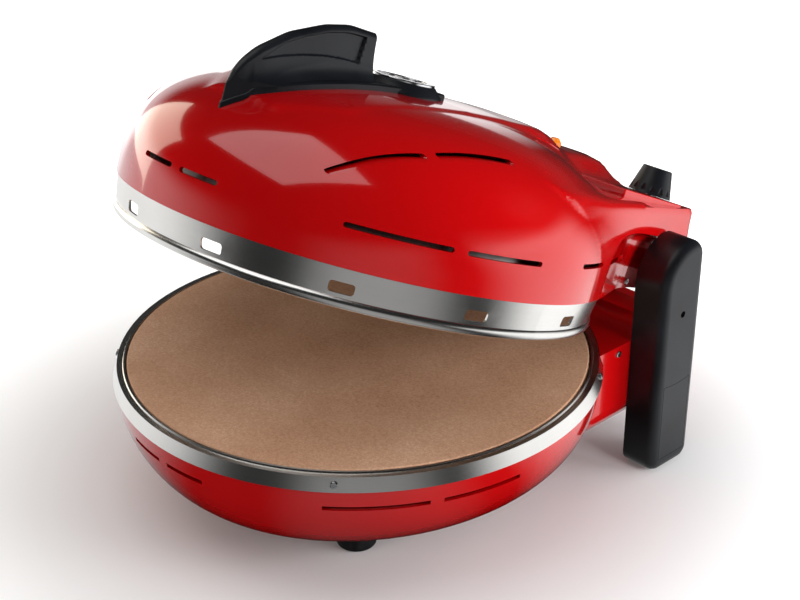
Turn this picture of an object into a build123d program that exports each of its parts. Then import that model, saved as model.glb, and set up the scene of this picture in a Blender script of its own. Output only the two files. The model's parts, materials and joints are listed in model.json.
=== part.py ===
"""Countertop electric pizza oven with a hinged domed lid.

Frame: +Z up, the worktop is z = 0, the lid opens at the front (-Y) and is hinged at the back (+Y),
X is the object's left-right axis. The origin is on the worktop under the middle of the footprint.
The lid is drawn shut, and each finished lid piece is then swung up to its rest angle.
"""

import os
from math import asin, atan2, cos, degrees, radians, sin, sqrt

from build123d import *

# ---------------------------------------------------------------- driving dimensions (mm, degrees)
STONE_Y = -25.5          # stone axis, forward of the middle of the footprint
RIM_Z = 101.0            # height of the steel rim's crease above the worktop

STONE_R = 160.0
STONE_T = 12.0
STONE_TOP = 1.2          # stone face above the rim crease
STONE_GAP = 0.8          # between the stone and the steel rim

RIM_W = 5.9              # flat of the steel rim, from the stone's gap out to its crease
RIM_R = STONE_R + STONE_GAP + RIM_W
BAND_FLARE = 3.2         # the steel band leans out by this over its height
BAND_R = RIM_R + BAND_FLARE
BAND_H = 9.1
STEEL_T = 0.9            # steel trim sheet
RIM_BEAD = 1.0           # height of the rim's rolled inner edge

WALL = 2.5               # moulded housings
FIT = 0.3                # clearance between neighbouring mouldings

BOWL_STEP = 1.5          # the bowl lies this far inside the band's lower edge
BOWL_R = BAND_R - BOWL_STEP
BOWL_DEPTH = 71.0
BOWL_FLAT_X = 90.0       # half-axes of the bowl's flat bottom
BOWL_FLAT_Y = 113.0
BOWL_SHIFT = 9.0         # bottom lies this far behind the stone axis

PIVOT_GAP = 8.1          # hinge axis behind the band
PIVOT_Y = BAND_R + PIVOT_GAP
PIVOT_Z = 45.1           # hinge axis above the rim

NECK_FRONT = 40.0        # the neck starts inside the bowl
NECK_BACK = PIVOT_Y + 18.0
NECK_DEPTH = 66.0
NECK_CORNER = 20.0       # rounding of its rear corners and, smaller, of its heel
NECK_HEEL = 18.0
HUMP_FRONT = NECK_BACK - 16.0    # low raised strip at the back of the deck
HUMP_H = 9.0

PAN_DEPTH = 30.0         # heater pan under the stone
PAN_FLOOR_R = STONE_R - 28.0
PAN_T = 1.0
PAN_SEAT = 8.0           # width of the stone's seat on the pan's flange

ROD_R = 3.2              # heater rod
HEATER_R = 105.0
HEATER_GAP = 30.0        # between the two legs of a heater
HEATER_BEND = 20.0
LOWER_LEG = 32.0         # straight ends behind the bends
UPPER_LEG = 44.0
HEATER_DROP = 14.0       # lower heater under the stone
BLOCK_D = 20.0           # ceramic terminal blocks
BLOCK_H = 12.0
BLOCK_GRIP = 6.0         # how far a block reaches over the rods
CLIP_COUNT = 4
CLIP_W = 8.0

FOOT_X = 65.0
FOOT_Y = -62.0
FOOT_R = 13.5
PAD_W = 12.0             # rubber pads under the arms
PAD_L = 20.0
PAD_ROUND = 3.0
PAD_H = 3.0
PAD_PROUD = 1.2

ARM_X = 126.0            # inner face of an arm; the base's neck ends just inside it
ARM_W = 26.5
ARM_FRONT = PIVOT_Y - 34.5
ARM_D = 42.7
ARM_TOP = PIVOT_Z + 29.4
ARM_EDGE = 7.0
ARM_TOP_FRONT_R = 30.0
ARM_TOP_BACK_R = 12.0
ARM_TOE_R = 10.0
ARM_WALL = 2.5
PANEL_TOP = -30.0        # upper edge of an arm's service panel
PANEL_T = 2.4
PANEL_BOW = 1.5          # the panel's upper edge sags by this
ARM_SCREW_Y = PIVOT_Y - 13.0
ARM_SCREW_Z = 23.0

PIN_R = 4.0              # hinge pins
PIN_RUN = 0.05           # their running clearance
PIN_HEAD_R = 8.0
PIN_HEAD_T = 3.0
LID_REST = 20.64         # lid's tilt at rest, held by friction
BRACKET_T = 3.0
BOSS_R = 10.0            # the bracket round the pin
PLATE_R = 13.0           # the lid's plate round the pin
PLATE_L = 34.0
PLATE_H = 20.0
PLATE_LAP = 4.4          # of the plate round the lid's wall screw
LID_SCREW_Y = PIVOT_Y - 31.5     # screw in each recess wall of the lid
LID_SCREW_Z = PIVOT_Z - 13.6
SPACER_R = 8.0

SKIRT_INSET = 4.5        # lip of the lid's steel skirt, inside the rim's crease
SKIRT_LIP_R = RIM_R - SKIRT_INSET
SKIRT_LIP_Z = 3.9
SKIRT_FOLD_R = SKIRT_LIP_R + 0.4
SKIRT_FOLD_Z = 8.8
SKIRT_FLARE = 2.7        # the skirt leans out by this up to its top
SKIRT_TOP_R = SKIRT_FOLD_R + SKIRT_FLARE
LID_PROUD = 0.9          # the red lid stands out past its skirt
LID_R = SKIRT_TOP_R + LID_PROUD
LID_Z = 26.6             # lower edge of the red lid when shut
LID_TOP = 119.0
LID_WAIST = 34.0         # height where the dome is widest
LID_POWER = 2.65         # squareness of the dome's profile
VENT_Z = 14.6            # slots in the skirt
VENT_W = 15.5
VENT_H = 7.0
VENT_STEP = 29.2
VENT_FIRST = 14.0

BOX_X = ARM_X - 9.0      # rear box of the lid: half width at its back, top edge
BOX_BACK = NECK_BACK + 7.0
BOX_TOP = 88.6
BOX_SHOULDER = 68.0      # the box's sides lean out down to here, then drop straight
BOX_LEAN = 3.0           # how far they lean out at the back
ARM_ROOM = 1.5           # between the box's sides and the arms
RECESS_X = ARM_X - 10.5  # wall of the arm recess in the lid
RECESS_TOP = BOX_SHOULDER
RECESS_ROUND = 20.0
RECESS_BACK = PIVOT_Y - 16.0     # the recess wall runs straight behind here and bends outwards before it
RECESS_BEND = 77.0
RECESS_TURN = 24.6
SPINE_X = 34.0           # half width of the spine's top
REAR_X = 58.0            # half width of the spine's foot on the rear box
PAD_X = 74.0             # inner side of the knob's wedge
PAD_FRONT = PIVOT_Y - 60.0
PAD_RISE = 6.2
PAD_BACK = BOX_BACK - 13.0       # where the wedge has fallen to the top of the box

SLOT_H = 3.2             # cooling slots
SLOT_REACH = 12.0        # how far the slot cutters reach either side of a wall
LID_SLOT_Z = 50.8
BASE_SLOT_Z = -22.4
SLOT_ARCS = ((1.4, 12.4), (40.4, 63.3), (66.3, 85.2))
LID_BACK_SLOT = (100.4, 110.9)
RECESS_SLOT = (118.9, 134.2)     # it goes on in the recess wall
FRONT_SWEEP = ((-127, 75.5), (-104, 87.3), (-80, 96.0))    # curved slots in the dome's flanks
REAR_SWEEP = ((-74, 97.8), (-53, 101.8), (-31, 103.4))
REACH_IN = 30.0          # the curved slots' cutters start this far from the middle

SHELF_R = LID_R - 12.2   # skirt's inner shelf, which carries the reflector
SHELF_Z = 33.0
COVER_REACH = 60.0       # lid's neck cover, from the back wall forwards
REFLECTOR_R = SHELF_R + 3.0
REFLECTOR_TOP = 64.0
REFLECTOR_T = 0.8
UPPER_HEATER_Z = 40.0

GRIP_X = 9.0             # half thickness of the handle's fin
GRIP_FOOT_X = 20.0       # half width of the handle's foot
GRIP_FOOT_T = 4.0
GRIP_TIP = -143.0
GRIP_BACK = 38.0
GRIP_END = -33.0         # upright rear end of the fin
GRIP_HEIGHT = LID_TOP + 35.0
GRIP_POCKET = 1.2        # depth of the recessed side panels
GRIP_BORDER = 8.0        # rim left over them
GRIP_EDGE = 3.0          # flat left along the crest between its rounded edges
POD_Y = 1.5              # round pod behind the fin, with the sight glass
POD_R = 29.0
POD_TOP_R = 23.0
POD_TOP = LID_TOP + 8.0
BEZEL_R = POD_TOP_R - 0.5
BEZEL_T = 1.6
GLASS_R = BEZEL_R - 3.0
GLASS_T = 3.0
BEZEL_BORE = GLASS_R - 2.5
SIGHT_R = BEZEL_BORE - 2.0       # way through the lid under the glass

LAMP_Y = PIVOT_Y
LAMP_Z = LID_TOP - 16.9
LAMP_R = 5.4
LAMP_STEM_R = 3.4
KNOB_X = 91.9
KNOB_Y = PIVOT_Y + 3.2
KNOB_H = 20.0
KNOB_R = 15.5
KNOB_TOP_R = 10.5
KNOB_RIBS = 14
KNOB_LIFT = 0.6          # its gap over the wedge
SHAFT_R = 3.0
SHAFT_RUN = 0.06
SHAFT_LENGTH = 16.0      # how far the shaft goes up into the knob
POINTER_R = 3.5          # pointer fin on the knob's front left
THERMOSTAT_W = 34.0
THERMOSTAT_D = 30.0
THERMOSTAT_H = 22.0
THERMOSTAT_DROP = 5.0    # its top under the wedge

GLAND_X = 62.0           # mains inlet in the back wall
GLAND_Z = -34.0
GLAND_R = 8.0
GLAND_BORE = 3.8
GLAND_LENGTH = 18.0

SCREW_R = 2.4
SCREW_SHANK_R = 1.2
SCREW_HEAD_T = 1.4
SCREW_RUN = 0.1          # round a screw's shank
CROSS_W = 0.7            # width of a screw's cross recess
RIM_SCREW_FRONT = 43.1   # bearings of the band's screws from the front, both sides
RIM_SCREW_BACK = 124.6
RIM_SCREW_DROP = 4.6
RIM_SCREW_L = 5.0
NECK_SCREW_Y = ARM_FRONT - 13.5  # screw in each side of the neck
NECK_SCREW_Z = -5.5
COVER_X = 70.0           # half-axes of the bottom cover
COVER_Y = 92.0
COVER_T = 1.5
COVER_LAP = 8.0

# ---------------------------------------------------------------- shared planes and axes
NECK_X = ARM_X - FIT
rim = Plane((0, STONE_Y, RIM_Z))
section = Plane((0, STONE_Y, RIM_Z), x_dir=(1, 0, 0), z_dir=(0, -1, 0))    # radius, height
side = Plane((0, STONE_Y, RIM_Z), x_dir=(0, 1, 0), z_dir=(1, 0, 0))        # rearward, height
oven_axis = Axis((0, STONE_Y, 0), (0, 0, 1))
hinge_axis = Axis((0, STONE_Y + PIVOT_Y, RIM_Z + PIVOT_Z), (1, 0, 0))
pod_axis = Axis((0, STONE_Y + POD_Y, 0), (0, 0, 1))
FLOOR = -RIM_Z                                       # worktop, seen from the rim plane
BOWL_TOP = -BAND_H - FIT
STONE_UNDER = STONE_TOP - STONE_T
SEAT_Z = STONE_UNDER - PAN_T                         # ledge that carries the heater pan
COLLAR_TOP = -STEEL_T - FIT                          # collar under the steel rim

# the knob stands square on its wedge, and the lamp on the falling top of the spine
wedge_lean = degrees(atan2(PAD_RISE, PAD_BACK - PAD_FRONT))
knob_foot = BOX_TOP + PAD_RISE * (PAD_BACK - KNOB_Y) / (PAD_BACK - PAD_FRONT)
knob_plane = Plane((KNOB_X, STONE_Y + KNOB_Y, RIM_Z + knob_foot), x_dir=(1, 0, 0),
                   z_dir=(0, sin(radians(wedge_lean)), cos(radians(wedge_lean))))
lamp_plane = Plane((0, STONE_Y + LAMP_Y, RIM_Z + LAMP_Z))

# the lid's wall screws stand square on the bent part of the recess wall
wall_turn = asin(max(0, RECESS_BACK - LID_SCREW_Y) / RECESS_BEND)
wall_screw_x = RECESS_X + RECESS_BEND * (1 - cos(wall_turn))
wall_screw_plane = Plane((wall_screw_x, STONE_Y + LID_SCREW_Y, RIM_Z + LID_SCREW_Z),
                         x_dir=(-sin(wall_turn), cos(wall_turn), 0), z_dir=(cos(wall_turn), sin(wall_turn), 0))

os.makedirs("parts", exist_ok=True)


def save(piece, name):
    """Label a finished piece and write its STEP file."""
    piece.part.label = name
    export_step(piece.part, f"parts/{name}.step")


def save_lid(piece, name):
    """Swing a lid piece from shut to its rest angle, then write it."""
    piece.part = piece.part.rotate(hinge_axis, -LID_REST)
    save(piece, name)


def sector(start, end, inner, outer):
    """Annular sector; its angles run from the front (-Y) towards +X."""
    with BuildSketch() as shape:
        with BuildLine():
            near = CenterArc((0, 0), inner, start - 90, end - start)
            far = CenterArc((0, 0), outer, start - 90, end - start)
            Line(near @ 0, far @ 0)
            Line(near @ 1, far @ 1)
        make_face()
    return shape.sketch


def slot_row(height, radius, arcs):
    """Cutter for level slots round a wall, the same on both sides of the object."""
    with BuildPart() as cutter:
        with BuildSketch(rim.offset(height - SLOT_H / 2)):
            for start, end in arcs:
                add(sector(start, end, radius - SLOT_REACH, radius + SLOT_REACH))
                add(sector(-end, -start, radius - SLOT_REACH, radius + SLOT_REACH))
        extrude(amount=SLOT_H)
    return cutter.part


def band_planes():
    """Seats of the screws on the band's sloping face, at the same bearings on both sides."""
    lean = atan2(BAND_R - RIM_R, BAND_H)
    radius = RIM_R + (BAND_R - RIM_R) * RIM_SCREW_DROP / BAND_H
    seats = []
    for bearing in (RIM_SCREW_FRONT, RIM_SCREW_BACK, -RIM_SCREW_FRONT, -RIM_SCREW_BACK):
        turn = radians(bearing)
        seats.append(Plane((radius * sin(turn), STONE_Y - radius * cos(turn), RIM_Z - RIM_SCREW_DROP),
                           x_dir=(cos(turn), sin(turn), 0),
                           z_dir=(cos(lean) * sin(turn), -cos(lean) * cos(turn), sin(lean))))
    return seats


def cover_screw_spots():
    """Places of the bottom cover's screws, seen from the rim plane's centre."""
    return [((COVER_X - COVER_LAP / 2) * cos(radians(turn)),
             BOWL_SHIFT + (COVER_Y - COVER_LAP / 2) * sin(radians(turn))) for turn in (45, 135, 225, 315)]


# ---------------------------------------------------------------- base housing
def bowl_form(inset):
    """Bowl under the band: ellipses whose radii and depth follow a quarter ellipse."""
    with BuildPart() as form:
        for step in range(0, 91, 15):
            out = cos(radians(step))
            down = (BOWL_DEPTH - inset) * sin(radians(step))
            with BuildSketch(rim.offset(BOWL_TOP - down)):
                with Locations((0, BOWL_SHIFT * (1 - out))):
                    Ellipse(BOWL_FLAT_X + (BOWL_R - BOWL_FLAT_X) * out - inset,
                            BOWL_FLAT_Y + (BOWL_R - BOWL_FLAT_Y) * out - inset)
        loft()
    return form.part


def neck_form(inset):
    """Rear neck of the base that carries the arms and the deck."""
    with BuildPart() as form:
        with BuildSketch(rim.offset(-inset)):
            with Locations((0, (NECK_BACK + NECK_FRONT) / 2)):
                Rectangle(2 * (NECK_X - inset), NECK_BACK - NECK_FRONT - 2 * inset)
        extrude(amount=-(NECK_DEPTH - 2 * inset))
        fillet(form.edges().filter_by(Axis.Z).group_by(Axis.Y)[-1], NECK_CORNER - inset)
        bottom = form.faces().sort_by(Axis.Z)[0]
        fillet(bottom.edges().sort_by(Axis.Y)[1:], NECK_HEEL - inset)
    return form.part


with BuildPart() as base_shell:
    add(bowl_form(0))
    add(neck_form(0))
    add(bowl_form(WALL), mode=Mode.SUBTRACT)
    add(neck_form(WALL), mode=Mode.SUBTRACT)
    # collar inside the band, with the ledge that carries the heater pan
    with BuildSketch(rim.offset(SEAT_Z - WALL)):
        Circle(BOWL_R - WALL / 2)
        Circle(STONE_R - PAN_SEAT, mode=Mode.SUBTRACT)
    extrude(amount=WALL)
    with BuildSketch(rim.offset(SEAT_Z - WALL)):
        Circle(RIM_R - STEEL_T - FIT)
        Circle(STONE_R + STONE_GAP + STEEL_T + FIT, mode=Mode.SUBTRACT)
    extrude(amount=COLLAR_TOP - SEAT_Z + WALL)
    # raised strip at the back of the deck
    with BuildSketch(side):
        with BuildLine():
            Polyline((HUMP_FRONT, -WALL), (HUMP_FRONT, 2), (HUMP_FRONT + 4, HUMP_H), (NECK_BACK - 3, HUMP_H),
                     (NECK_BACK, HUMP_H - 4), (NECK_BACK, -WALL), close=True)
        make_face()
    extrude(amount=NECK_X - NECK_CORNER, both=True)
    # open mouth, seat of the stone's rim and room for the band
    with BuildSketch(section):
        with BuildLine():
            mouth = STONE_R + STONE_GAP + STEEL_T + FIT
            collar = RIM_R - STEEL_T - FIT
            Polyline((0, SEAT_Z), (mouth, SEAT_Z), (mouth, COLLAR_TOP), (collar, COLLAR_TOP),
                     (collar, -BAND_H - FIT / 2), (BAND_R + FIT, -BAND_H - FIT / 2), (RIM_R + FIT, 0),
                     (RIM_R + FIT, 1), (0, 1), close=True)
        make_face()
    revolve(axis=oven_axis, mode=Mode.SUBTRACT)
    with BuildSketch(rim.offset(SEAT_Z - 2 * WALL)):
        Circle(STONE_R - PAN_SEAT)
    extrude(amount=2 * WALL, mode=Mode.SUBTRACT)
    # opening for the bottom cover
    with BuildSketch(rim.offset(BOWL_TOP - BOWL_DEPTH - 1)):
        with Locations((0, BOWL_SHIFT)):
            Ellipse(COVER_X - COVER_LAP, COVER_Y - COVER_LAP)
    extrude(amount=WALL + 2, mode=Mode.SUBTRACT)
    add(slot_row(BASE_SLOT_Z, BOWL_R - 4, SLOT_ARCS), mode=Mode.SUBTRACT)
    # ways for the neck's and the bottom cover's screws
    with BuildSketch(side.offset(-NECK_X)):
        with Locations((NECK_SCREW_Y, NECK_SCREW_Z)):
            Circle(SCREW_SHANK_R + SCREW_RUN)
    extrude(amount=2 * NECK_X, mode=Mode.SUBTRACT)
    with BuildSketch(rim.offset(BOWL_TOP - BOWL_DEPTH - 1)):
        with Locations(*cover_screw_spots()):
            Circle(SCREW_SHANK_R + SCREW_RUN)
    extrude(amount=WALL + 2, mode=Mode.SUBTRACT)
    for seat in band_planes():
        with BuildSketch(seat):
            Circle(SCREW_SHANK_R + SCREW_RUN)
        extrude(amount=-RIM_SCREW_L - FIT, mode=Mode.SUBTRACT)
    # mains inlet
    with BuildSketch(section.offset(-NECK_BACK - 1)):
        with Locations((GLAND_X, GLAND_Z)):
            Circle(GLAND_R)
    extrude(amount=WALL + 2, mode=Mode.SUBTRACT)
save(base_shell, "base_shell")

with BuildPart() as bottom_cover:
    with BuildSketch(rim.offset(BOWL_TOP - BOWL_DEPTH)):
        with Locations((0, BOWL_SHIFT)):
            Ellipse(COVER_X, COVER_Y)
        with Locations(*cover_screw_spots()):
            Circle(SCREW_SHANK_R + SCREW_RUN, mode=Mode.SUBTRACT)
    extrude(amount=-COVER_T)
save(bottom_cover, "bottom_cover")

with BuildPart() as trim_ring:
    with BuildSketch(section):
        with BuildLine():
            inner = STONE_R + STONE_GAP
            Polyline((inner, -5), (inner, RIM_BEAD), (inner + 1.4, RIM_BEAD), (inner + 2.0, 0), (RIM_R, 0),
                     (BAND_R, -BAND_H), (BAND_R - STEEL_T, -BAND_H), (RIM_R - STEEL_T, -STEEL_T),
                     (inner + STEEL_T, -STEEL_T), (inner + STEEL_T, -5), close=True)
        make_face()
    revolve(axis=oven_axis)
    for seat in band_planes():
        with BuildSketch(seat):
            Circle(SCREW_SHANK_R + SCREW_RUN)
        extrude(amount=-2 * STEEL_T, mode=Mode.SUBTRACT)
save(trim_ring, "base_trim_ring")

with BuildPart() as pizza_stone:
    with BuildSketch(rim.offset(STONE_UNDER)):
        Circle(STONE_R)
    extrude(amount=STONE_T)
    fillet(pizza_stone.edges().group_by(Axis.Z)[-1], 1.2)
    chamfer(pizza_stone.edges().group_by(Axis.Z)[0], 0.8)
save(pizza_stone, "pizza_stone")

# where a heater's bends meet its straight ends
heater_back = sqrt((HEATER_R + HEATER_BEND) ** 2 - (HEATER_GAP / 2 + HEATER_BEND) ** 2)

with BuildPart() as heater_pan:
    with BuildSketch(section):
        with BuildLine():
            lip = STONE_R + STONE_GAP
            wall = STONE_R - PAN_SEAT - 2
            Polyline((lip, SEAT_Z), (wall, SEAT_Z), (PAN_FLOOR_R, SEAT_Z - PAN_DEPTH), (0, SEAT_Z - PAN_DEPTH),
                     (0, SEAT_Z - PAN_DEPTH + PAN_T), (PAN_FLOOR_R - 0.7, SEAT_Z - PAN_DEPTH + PAN_T),
                     (wall - 0.7, SEAT_Z + PAN_T), (lip, SEAT_Z + PAN_T), close=True)
        make_face()
    revolve(axis=oven_axis)
    with BuildSketch(section.offset(-HEATER_R)):
        with Locations((-HEATER_GAP / 2, STONE_UNDER - HEATER_DROP), (HEATER_GAP / 2, STONE_UNDER - HEATER_DROP)):
            Circle(ROD_R + FIT)
    extrude(amount=HEATER_R - STONE_R, mode=Mode.SUBTRACT)
save(heater_pan, "heater_pan")


def heater_path(leg):
    """One ring of rod, open at the back, whose ends turn outwards into two parallel legs."""
    half = HEATER_GAP / 2
    meet = degrees(atan2(heater_back, half + HEATER_BEND))
    with BuildLine() as path:
        Line((half, heater_back + leg), (half, heater_back))
        CenterArc((half + HEATER_BEND, heater_back), HEATER_BEND, 180, meet)
        CenterArc((0, 0), HEATER_R, meet, -(180 + 2 * meet))
        CenterArc((-half - HEATER_BEND, heater_back), HEATER_BEND, -meet, meet)
        Line((-half, heater_back), (-half, heater_back + leg))
    return path.line


def heater(height, leg):
    """Heater rod swept round its ring at a height over the rim plane."""
    with BuildPart() as rod:
        path = rim.offset(height) * heater_path(leg)
        with BuildSketch(Plane(path @ 0, z_dir=path % 0)):
            Circle(ROD_R)
        sweep(path=path)
    return rod.part


def heater_clips(height, reach):
    """Saddles that carry a heater: each is a block with the rod's groove, reaching to a sheet."""
    low = min(height, height + reach)
    with BuildPart() as clips:
        with BuildSketch(rim.offset(low)):
            with PolarLocations(HEATER_R, CLIP_COUNT, start_angle=45):
                Rectangle(3 * ROD_R + 2, CLIP_W)
        extrude(amount=abs(reach))
        with BuildSketch(section):
            with Locations((HEATER_R, height)):
                Circle(ROD_R + 0.05)
        revolve(axis=oven_axis, mode=Mode.SUBTRACT)
    return clips.part


lower_height = STONE_UNDER - HEATER_DROP
with BuildPart() as lower_heater:
    add(heater(lower_height, LOWER_LEG))
save(lower_heater, "lower_heater")

with BuildPart() as lower_clips:
    add(heater_clips(lower_height, SEAT_Z - PAN_DEPTH + PAN_T - lower_height))
save(lower_clips, "lower_heater_clips")


def terminal_block(height, leg, foot):
    """Ceramic block on a heater's two ends, with a foot down to the housing."""
    start = heater_back + leg - BLOCK_GRIP
    with BuildPart() as block:
        with BuildSketch(rim.offset(height - BLOCK_H / 2)):
            with Locations((0, start + BLOCK_D / 2)):
                Rectangle(HEATER_GAP + 22, BLOCK_D)
        extrude(amount=BLOCK_H)
        with BuildSketch(section.offset(-start)):
            with Locations((-HEATER_GAP / 2, height), (HEATER_GAP / 2, height)):
                Circle(ROD_R + 0.05)
        extrude(amount=-BLOCK_GRIP, mode=Mode.SUBTRACT)
        with BuildSketch(rim.offset(foot)):
            with Locations((0, start + BLOCK_D - 5)):
                Rectangle(14, 10)
        extrude(amount=height - foot)
    return block.part


with BuildPart() as lower_block:
    add(terminal_block(lower_height, LOWER_LEG, -NECK_DEPTH + WALL))
save(lower_block, "lower_terminal_block")

with BuildPart() as front_feet:
    with BuildSketch(rim.offset(FLOOR)):
        with Locations((-FOOT_X, FOOT_Y), (FOOT_X, FOOT_Y)):
            Circle(FOOT_R)
    extrude(amount=-FLOOR + BOWL_TOP - BOWL_DEPTH)
    fillet(front_feet.edges().group_by(Axis.Z)[0], 2)
save(front_feet, "front_feet")

with BuildPart() as cord_gland:
    with BuildSketch(section.offset(-NECK_BACK - GLAND_LENGTH / 2)):
        with Locations((GLAND_X, GLAND_Z)):
            Circle(GLAND_R - 0.1)
            Circle(GLAND_BORE, mode=Mode.SUBTRACT)
    extrude(amount=GLAND_LENGTH)
    with BuildSketch(section.offset(-NECK_BACK)):
        with Locations((GLAND_X, GLAND_Z)):
            Circle(GLAND_R + 2.5)
            Circle(GLAND_BORE, mode=Mode.SUBTRACT)
    extrude(amount=-3)
save(cord_gland, "cord_gland")


# ---------------------------------------------------------------- arms and hinge
def arm_outline(inset):
    """Side view of an arm: a broad rounded top and two rounded toes."""
    low = FLOOR + PAD_PROUD + inset
    front = ARM_FRONT + inset
    back = ARM_FRONT + ARM_D - inset
    top = ARM_TOP - inset
    corners = (ARM_TOE_R, ARM_TOP_FRONT_R, ARM_TOP_BACK_R, ARM_TOE_R)
    with BuildSketch() as outline:
        with BuildLine():
            FilletPolyline((front, low), (front, top), (back, top), (back, low),
                           radius=[corner - inset for corner in corners], close=True)
        make_face()
    return outline.sketch


def panel_outline(grow):
    """Lower service panel on an arm's outer face, with a bowed upper edge."""
    front = ARM_FRONT + ARM_EDGE - grow
    back = ARM_FRONT + ARM_D - ARM_EDGE + grow
    low = FLOOR + PAD_PROUD + ARM_TOE_R - grow
    top = PANEL_TOP + grow
    with BuildSketch() as outline:
        with BuildLine():
            ThreePointArc((front, top), ((front + back) / 2, top - PANEL_BOW), (back, top))
            Polyline((back, top), (back, low), (front, low), (front, top))
        make_face()
    return outline.sketch


def arm_cover():
    """Moulded housing of the right arm, open towards the neck, with the seat of its service panel."""
    outer = ARM_X + ARM_W
    with BuildPart() as cover:
        with BuildSketch(side.offset(ARM_X)):
            add(arm_outline(0))
        extrude(amount=ARM_W)
        fillet(cover.faces().sort_by(Axis.X)[-1].edges(), ARM_EDGE)
        with BuildSketch(side.offset(ARM_X)):
            add(arm_outline(ARM_WALL))
        extrude(amount=ARM_W - ARM_WALL - PANEL_T, mode=Mode.SUBTRACT)
        with BuildSketch(side.offset(outer)):
            add(panel_outline(FIT / 2))
        extrude(amount=-PANEL_T, mode=Mode.SUBTRACT)
        with BuildSketch(side.offset(outer)):
            with Locations((ARM_SCREW_Y, ARM_SCREW_Z)):
                Circle(SCREW_R)
        extrude(amount=-(ARM_WALL + PANEL_T), mode=Mode.SUBTRACT)
        with BuildSketch(rim.offset(FLOOR)):
            with Locations((ARM_X + ARM_W / 2, ARM_FRONT + ARM_D / 2)):
                RectangleRounded(PAD_W + FIT, PAD_L + FIT, PAD_ROUND)
        extrude(amount=PAD_H, mode=Mode.SUBTRACT)
    return cover.part


def service_panel():
    """Flush panel in the right arm's outer face."""
    with BuildPart() as panel:
        with BuildSketch(side.offset(ARM_X + ARM_W)):
            add(panel_outline(-FIT / 2))
        extrude(amount=-PANEL_T)
    return panel.part


def wall_screw_way():
    """Cutter for the right wall screw's way through the lid's recess wall and hinge plate (lid shut)."""
    with BuildPart() as cutter:
        with BuildSketch(wall_screw_plane.offset(FIT)):
            Circle(SCREW_SHANK_R + SCREW_RUN)
        extrude(amount=-3 * WALL - BRACKET_T)
    return cutter.part


def hinge_bracket():
    """Steel plate inside the right arm: bolted to the neck's side, it holds the hinge pin."""
    front = ARM_FRONT + ARM_WALL + FIT
    with BuildPart() as bracket:
        with BuildSketch(side.offset(NECK_X)):
            with Locations((PIVOT_Y, PIVOT_Z)):
                Circle(BOSS_R)
            with BuildLine():
                Polyline((PIVOT_Y - BOSS_R, PIVOT_Z), (PIVOT_Y, PIVOT_Z), (PIVOT_Y, -NECK_DEPTH / 2),
                         (front, -NECK_DEPTH / 2), (front, 0), close=True)
            make_face()
            add(arm_outline(ARM_WALL + FIT), mode=Mode.INTERSECT)
            with Locations((PIVOT_Y, PIVOT_Z)):
                Circle(PIN_R, mode=Mode.SUBTRACT)
            with Locations((ARM_SCREW_Y, ARM_SCREW_Z)):
                Circle(SCREW_SHANK_R, mode=Mode.SUBTRACT)
        extrude(amount=BRACKET_T)
    return bracket.part


def hinge_pin():
    """Right-hand pin: its head is inside the lid, and its end is riveted in the bracket."""
    head = RECESS_X - WALL - BRACKET_T - FIT
    with BuildPart() as pin:
        with BuildSketch(side.offset(head - PIN_HEAD_T)):
            with Locations((PIVOT_Y, PIVOT_Z)):
                Circle(PIN_HEAD_R)
        extrude(amount=PIN_HEAD_T)
        with BuildSketch(side.offset(head)):
            with Locations((PIVOT_Y, PIVOT_Z)):
                Circle(PIN_R)
        extrude(amount=NECK_X + BRACKET_T - head)
    return pin.part


def lid_hinge_plate():
    """Right-hand steel plate on the inside of the lid's recess wall; it turns on the pin (lid shut)."""
    with BuildPart() as plate:
        with BuildSketch(side.offset(RECESS_X - WALL)):
            with Locations((PIVOT_Y, PIVOT_Z)):
                Circle(PLATE_R)
            with BuildLine():
                Polyline((PIVOT_Y, PIVOT_Z + PLATE_H / 2), (PIVOT_Y - PLATE_L, PIVOT_Z + PLATE_H / 2),
                         (LID_SCREW_Y - PLATE_LAP, LID_SCREW_Z), (LID_SCREW_Y + PLATE_LAP, LID_SCREW_Z - 2),
                         (PIVOT_Y, PIVOT_Z - PLATE_H / 2), close=True)
            make_face()
            with Locations((LID_SCREW_Y, LID_SCREW_Z)):
                Circle(PLATE_LAP)
            with Locations((PIVOT_Y, PIVOT_Z)):
                Circle(PIN_R + PIN_RUN, mode=Mode.SUBTRACT)
        extrude(amount=-BRACKET_T)
        add(wall_screw_way(), mode=Mode.SUBTRACT)
    return plate.part


for form, name in ((arm_cover, "arm_cover"), (service_panel, "service_panel"),
                   (hinge_bracket, "hinge_bracket"), (hinge_pin, "hinge_pin")):
    with BuildPart() as right_piece:
        add(form())
    save(right_piece, f"right_{name}")
    with BuildPart() as left_piece:
        add(right_piece.part.mirror(Plane.YZ))
    save(left_piece, f"left_{name}")

with BuildPart() as hinge_spacers:
    with BuildSketch(side.offset(RECESS_X + FIT)):
        with Locations((PIVOT_Y, PIVOT_Z)):
            Circle(SPACER_R)
            Circle(PIN_R + PIN_RUN, mode=Mode.SUBTRACT)
    extrude(amount=NECK_X - RECESS_X - FIT)
    mirror(about=Plane.YZ)
save(hinge_spacers, "hinge_spacers")

with BuildPart() as arm_pads:
    with BuildSketch(rim.offset(FLOOR)):
        with Locations((ARM_X + ARM_W / 2, ARM_FRONT + ARM_D / 2)):
            RectangleRounded(PAD_W, PAD_L, PAD_ROUND)
    extrude(amount=PAD_H)
    mirror(about=Plane.YZ)
save(arm_pads, "arm_pads")


# ---------------------------------------------------------------- lid housing (drawn shut)
def dome_height(radius, inset):
    """Height of the dome's skin, pulled in by inset, at a distance from the middle."""
    share = (radius / (LID_R - inset)) ** LID_POWER
    return LID_WAIST + (LID_TOP - inset - LID_WAIST) * (1 - share) ** (1 / LID_POWER)


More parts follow.
